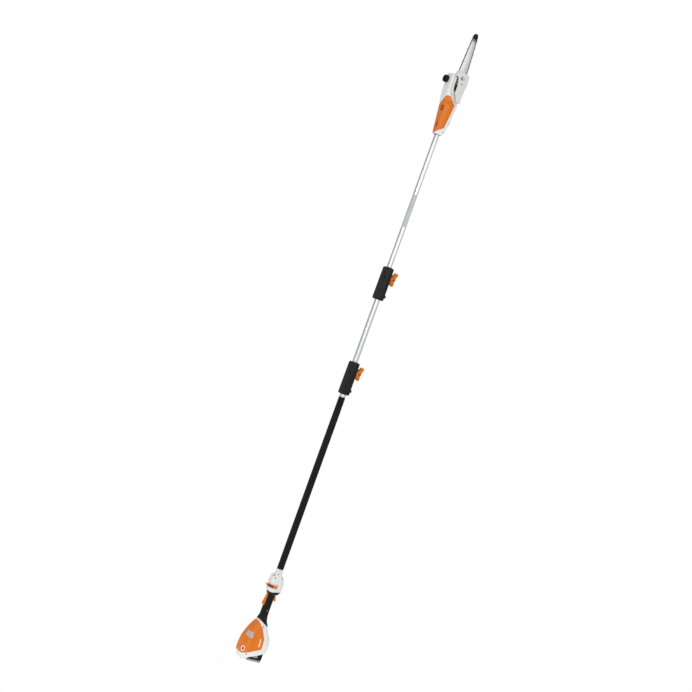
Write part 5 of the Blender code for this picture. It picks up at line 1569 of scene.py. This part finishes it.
tree.links.new(bump.outputs[0], shader.inputs["Normal"])
PLATE, GROOVE_DEPTH = 0.0010, 0.0045
laminations = bmesh.new()
slab(bar_outline(0.0), bar_low.y, bar_low.y + PLATE, 0.0002, 0.0002, into=laminations)
slab(bar_outline(0.0), bar_high.y - PLATE, bar_high.y, 0.0002, 0.0002, into=laminations)
core = [(x, z) for x, z in bar_outline(-GROOVE_DEPTH) if z < nose_z - 0.016]
slab(core, bar_low.y + PLATE - 0.0001, bar_high.y - PLATE + 0.0001, 0.0002, 0.0, into=laminations)
slots = block((-0.0045, bar_low.y - 0.01, tail_z - 0.01), (0.0045, bar_high.y + 0.01, stud_z + 0.012))
for side in (1, -1):
    face = bar_y + side * bar_half
    ends = [
        (0.0033, nose_z - 0.178), (0.0033, nose_z - 0.130), (0.0068, nose_z - 0.130), (0.0068, nose_z - 0.178)
    ]
    slab(ends, face - side * 0.0004, face + side * 0.01, 0.0016, 0.0, into=slots)
    for below in (0.190, 0.116):
        spun(pin(0.0022, -0.0004, 0.01), 20, (0.005, face, nose_z - below), (0, side, 0), into=slots)
finished(
    "laminated_guide_bar", laminations, bar_steel, "top_shaft_and_head", "bar_steel", "guide_bar", cutter=slots
)
rivets = bmesh.new()
for x, below in ((0, 0), (0.0042, 0.0165), (-0.0042, 0.0165), (0, 0.0235)):
    head = [(0, 0.0003), (0.0012, 0.0003), (0.0019, 0), (0.0019, -0.0009), (0, -0.0009)]
    for side in (1, -1):
        spun(head, 16, (x, bar_y + side * bar_half, nose_z - below), (0, side, 0), into=rivets)
finished("nose_rivets", rivets, zinc_steel, "top_shaft_and_head", "dark_steel")

# Nose roller: a thin hardened sprocket that turns on its rivet inside the tip of the bar.
dark_steel = steel("oiled_hardened_steel", "#6E6F70", "#525354", 0.34)
roller = bmesh.new()
NOSE_TEETH, NOSE_TOOTH = 9, ((0.0070, -0.30), (0.0090, -0.10), (0.0090, 0.10), (0.0070, 0.30))
points = []
for i in range(NOSE_TEETH):
    for radius, turned in NOSE_TOOTH:
        angle = math.tau * (i + turned) / NOSE_TEETH
        points.append((radius * math.cos(angle), nose_z + radius * math.sin(angle)))
slab(points, bar_y - 0.0005, bar_y + 0.0005, 0.0003, 0.0, into=roller)
hole = spun(pin(0.0020, -0.01, 0.01), 16, (0, bar_y, nose_z), (0, 1, 0))
finished("nose_roller_sprocket", roller, dark_steel, "bar_nose", "dark_steel", "nose_sprocket", cutter=hole)

# ---- Saw chain: low-profile chain of hardened steel. Drive links run in the bar's groove, and
# between them come pairs of tie straps, every other pair with a cutter on one side.
CHAIN_GAP, RIVET_HEIGHT, WRAP_RADIUS = 0.0004, 0.0027, 0.0173
side = bar_edge(CHAIN_GAP + RIVET_HEIGHT, 13)
for i in range(25):
    angle = math.radians(15 - 105 * i / 24)
    radius = WRAP_RADIUS + RIVET_HEIGHT
    side.append((radius * math.cos(angle), shaft_z + radius * math.sin(angle)))
loop = [Vector((x, bar_y, z)) for x, z in side + [(-x, z) for x, z in reversed(side[1:-1])]]
lengths = [(b - a).length for a, b in zip(loop, loop[1:] + loop[:1])]
RIVETS = 4 * round(sum(lengths) / 0.00953 / 4)
pitch = sum(lengths) / RIVETS
rivet_places, reached, at = [], 0.0, 0
for i in range(RIVETS):
    while reached + lengths[at] < i * pitch:
        reached += lengths[at]
        at += 1
    share = (i * pitch - reached) / lengths[at]
    rivet_places.append(loop[at].lerp(loop[(at + 1) % len(loop)], share))
# Each link's outline, along the chain and out from its rivets, with its place across the chain.
TIE = (
    (-0.0030, -0.0008), (-0.0020, -0.0025), (0.0024, -0.0025), (pitch / 2, -0.0018), (pitch - 0.0024, -0.0025)
)
TIE += (
    (pitch + 0.0020, -0.0025), (pitch + 0.0030, -0.0008), (pitch + 0.0030, 0.0012), (pitch + 0.0018, 0.0029)
)
TIE += ((pitch - 0.0020, 0.0027), (pitch / 2, 0.0021), (0.0020, 0.0027), (-0.0018, 0.0029), (-0.0030, 0.0012))
DRIVE = (
    (-0.0024, 0.0),
    (-0.0014, -0.0020),
    (pitch * 0.30, -0.0026),
    (pitch * 0.42, -0.0058),
    (pitch * 0.58, -0.0058),
)
DRIVE += ((pitch * 0.70, -0.0026), (pitch + 0.0014, -0.0020), (pitch + 0.0024, 0.0), (pitch + 0.0014, 0.0022))
DRIVE += ((pitch * 0.70, 0.0024), (pitch * 0.52, 0.0036), (pitch * 0.30, 0.0022), (-0.0014, 0.0022))
CUTTER = (
    (-0.0026, -0.0008), (-0.0018, -0.0023), (0.0022, -0.0023), (pitch / 2, -0.0014), (pitch - 0.0022, -0.0023)
)
CUTTER += (
    (pitch + 0.0018, -0.0023), (pitch + 0.0026, -0.0008), (pitch + 0.0028, 0.0034), (pitch * 0.52, 0.0037)
)
CUTTER += (
    (pitch * 0.46, 0.0022), (pitch * 0.30, 0.0016), (pitch * 0.16, 0.0036), (-0.0010, 0.0030), (-0.0026, 0.0010)
)


def link(outline, y_low, y_high):
    """One flat chain link in its own axes, its edges left as punched."""
    bm = bmesh.new()
    bm.faces.new([bm.verts.new((u, y_low, v)) for u, v in outline])
    pushed(bm, bmesh.ops.extrude_face_region(bm, geom=bm.faces[:]), y_high - y_low)
    bmesh.ops.recalc_face_normals(bm, faces=bm.faces)
    return bm


def pair_of_straps(cutter_side):
    """Two side plates and their rivet heads; cutter_side is 1 or -1, or 0 for plain tie straps."""
    pair = bmesh.new()
    for side in (1, -1):
        plate = CUTTER if side == cutter_side else TIE
        joined(pair, link(plate, min(side * 0.0008, side * 0.0019), max(side * 0.0008, side * 0.0019)))
        for u in (0.0, pitch):
            spun(
                [(0, 0.0025), (0.0010, 0.0024), (0.0014, 0.0018), (0, 0.0018)],
                8,
                (u, 0, 0),
                (0, side, 0),
                into=pair,
            )
    if cutter_side:
        low, high = sorted((cutter_side * 0.0021, -cutter_side * 0.0011))
        edge = (
            (pitch * 0.48, 0.0033), (pitch + 0.0032, 0.0029), (pitch + 0.0032, 0.0039), (pitch * 0.48, 0.0044)
        )
        top = link(edge, low, high)
        joined(pair, top)
    return pair


chain = bmesh.new()
templates = [pair_of_straps(1), link(DRIVE, -0.0006, 0.0006), pair_of_straps(0), pair_of_straps(-1)]
meshes = []
for template in templates:
    meshes.append(bpy.data.meshes.new("chain_link"))
    template.to_mesh(meshes[-1])
    template.free()
ORDER = (0, 1, 2, 1, 3, 1, 2, 1)
for i, start in enumerate(rivet_places):
    along = (rivet_places[(i + 1) % RIVETS] - start).normalized()
    across = Vector((0, 1, 0))
    outward = along.cross(across)
    before = len(chain.verts)
    chain.from_mesh(meshes[ORDER[i % 8]])
    chain.verts.ensure_lookup_table()
    turn = Matrix((along, across, outward)).transposed().to_4x4()
    bmesh.ops.transform(chain, matrix=Matrix.Translation(start) @ turn, verts=chain.verts[before:])
for mesh in meshes:
    bpy.data.meshes.remove(mesh)
chain_steel, tree, shader, where, tint = clouded(
    "blued_chain_steel", 14, 4.0, "#7E7E7D", "#4E4E4D", (0.30, 0.50), Metallic=1.0
)
# Painted shade: the chain's colour darkens towards the nose.
painted_shade_towards_nose(tree, shader, where, tint, nose_z - 0.035, nose_z - 0.005, "#1E1E1E")
finished("saw_chain_links", chain, chain_steel, "top_shaft_and_head", "dark_steel", "saw_chain", sharp=25)

# ---- Parts inside the tool, which keep their own shapes: the motor's laminated core and copper,
# the hardened gears and shafts, the nylon guides, the leads and the circuit board.
copper = steel("enamelled_copper_winding", "#B5623A", "#9A4F2C", 0.40, line=(0.6, 0.6, 12))
board, *_ = clouded("glass_epoxy_board", 3, 3.0, "#2F5B3C", "#23482F", (0.35, 0.55), IOR=1.55)
lead_rubber = moulded("black_lead_rubber", "#161617", "#101011", 0.55, grain=1.2, depth=0.03, ior=1.5)
for material, nodes in (
    (
        dark_steel,
        "front_bearing rear_bearing shaft_bearing bevel_gear bevel_pinion sprocket_shaft drive_sprocket",
    ),
    (dark_steel, "motor_rotor lockout_pin trigger_pin"),
    (copper, "motor_stator battery_contacts"),
    (board, "motor_controller"),
    (lead_rubber, "coiled_lead head_lead"),
    (nylon, "trigger_switch mid_guide top_guide lower_clamp_shoe upper_clamp_shoe"),
    (grey_abs, "oil_pump"),
):
    for node in nodes.split():
        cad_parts[node].data.materials.clear()
        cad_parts[node].data.materials.append(material)
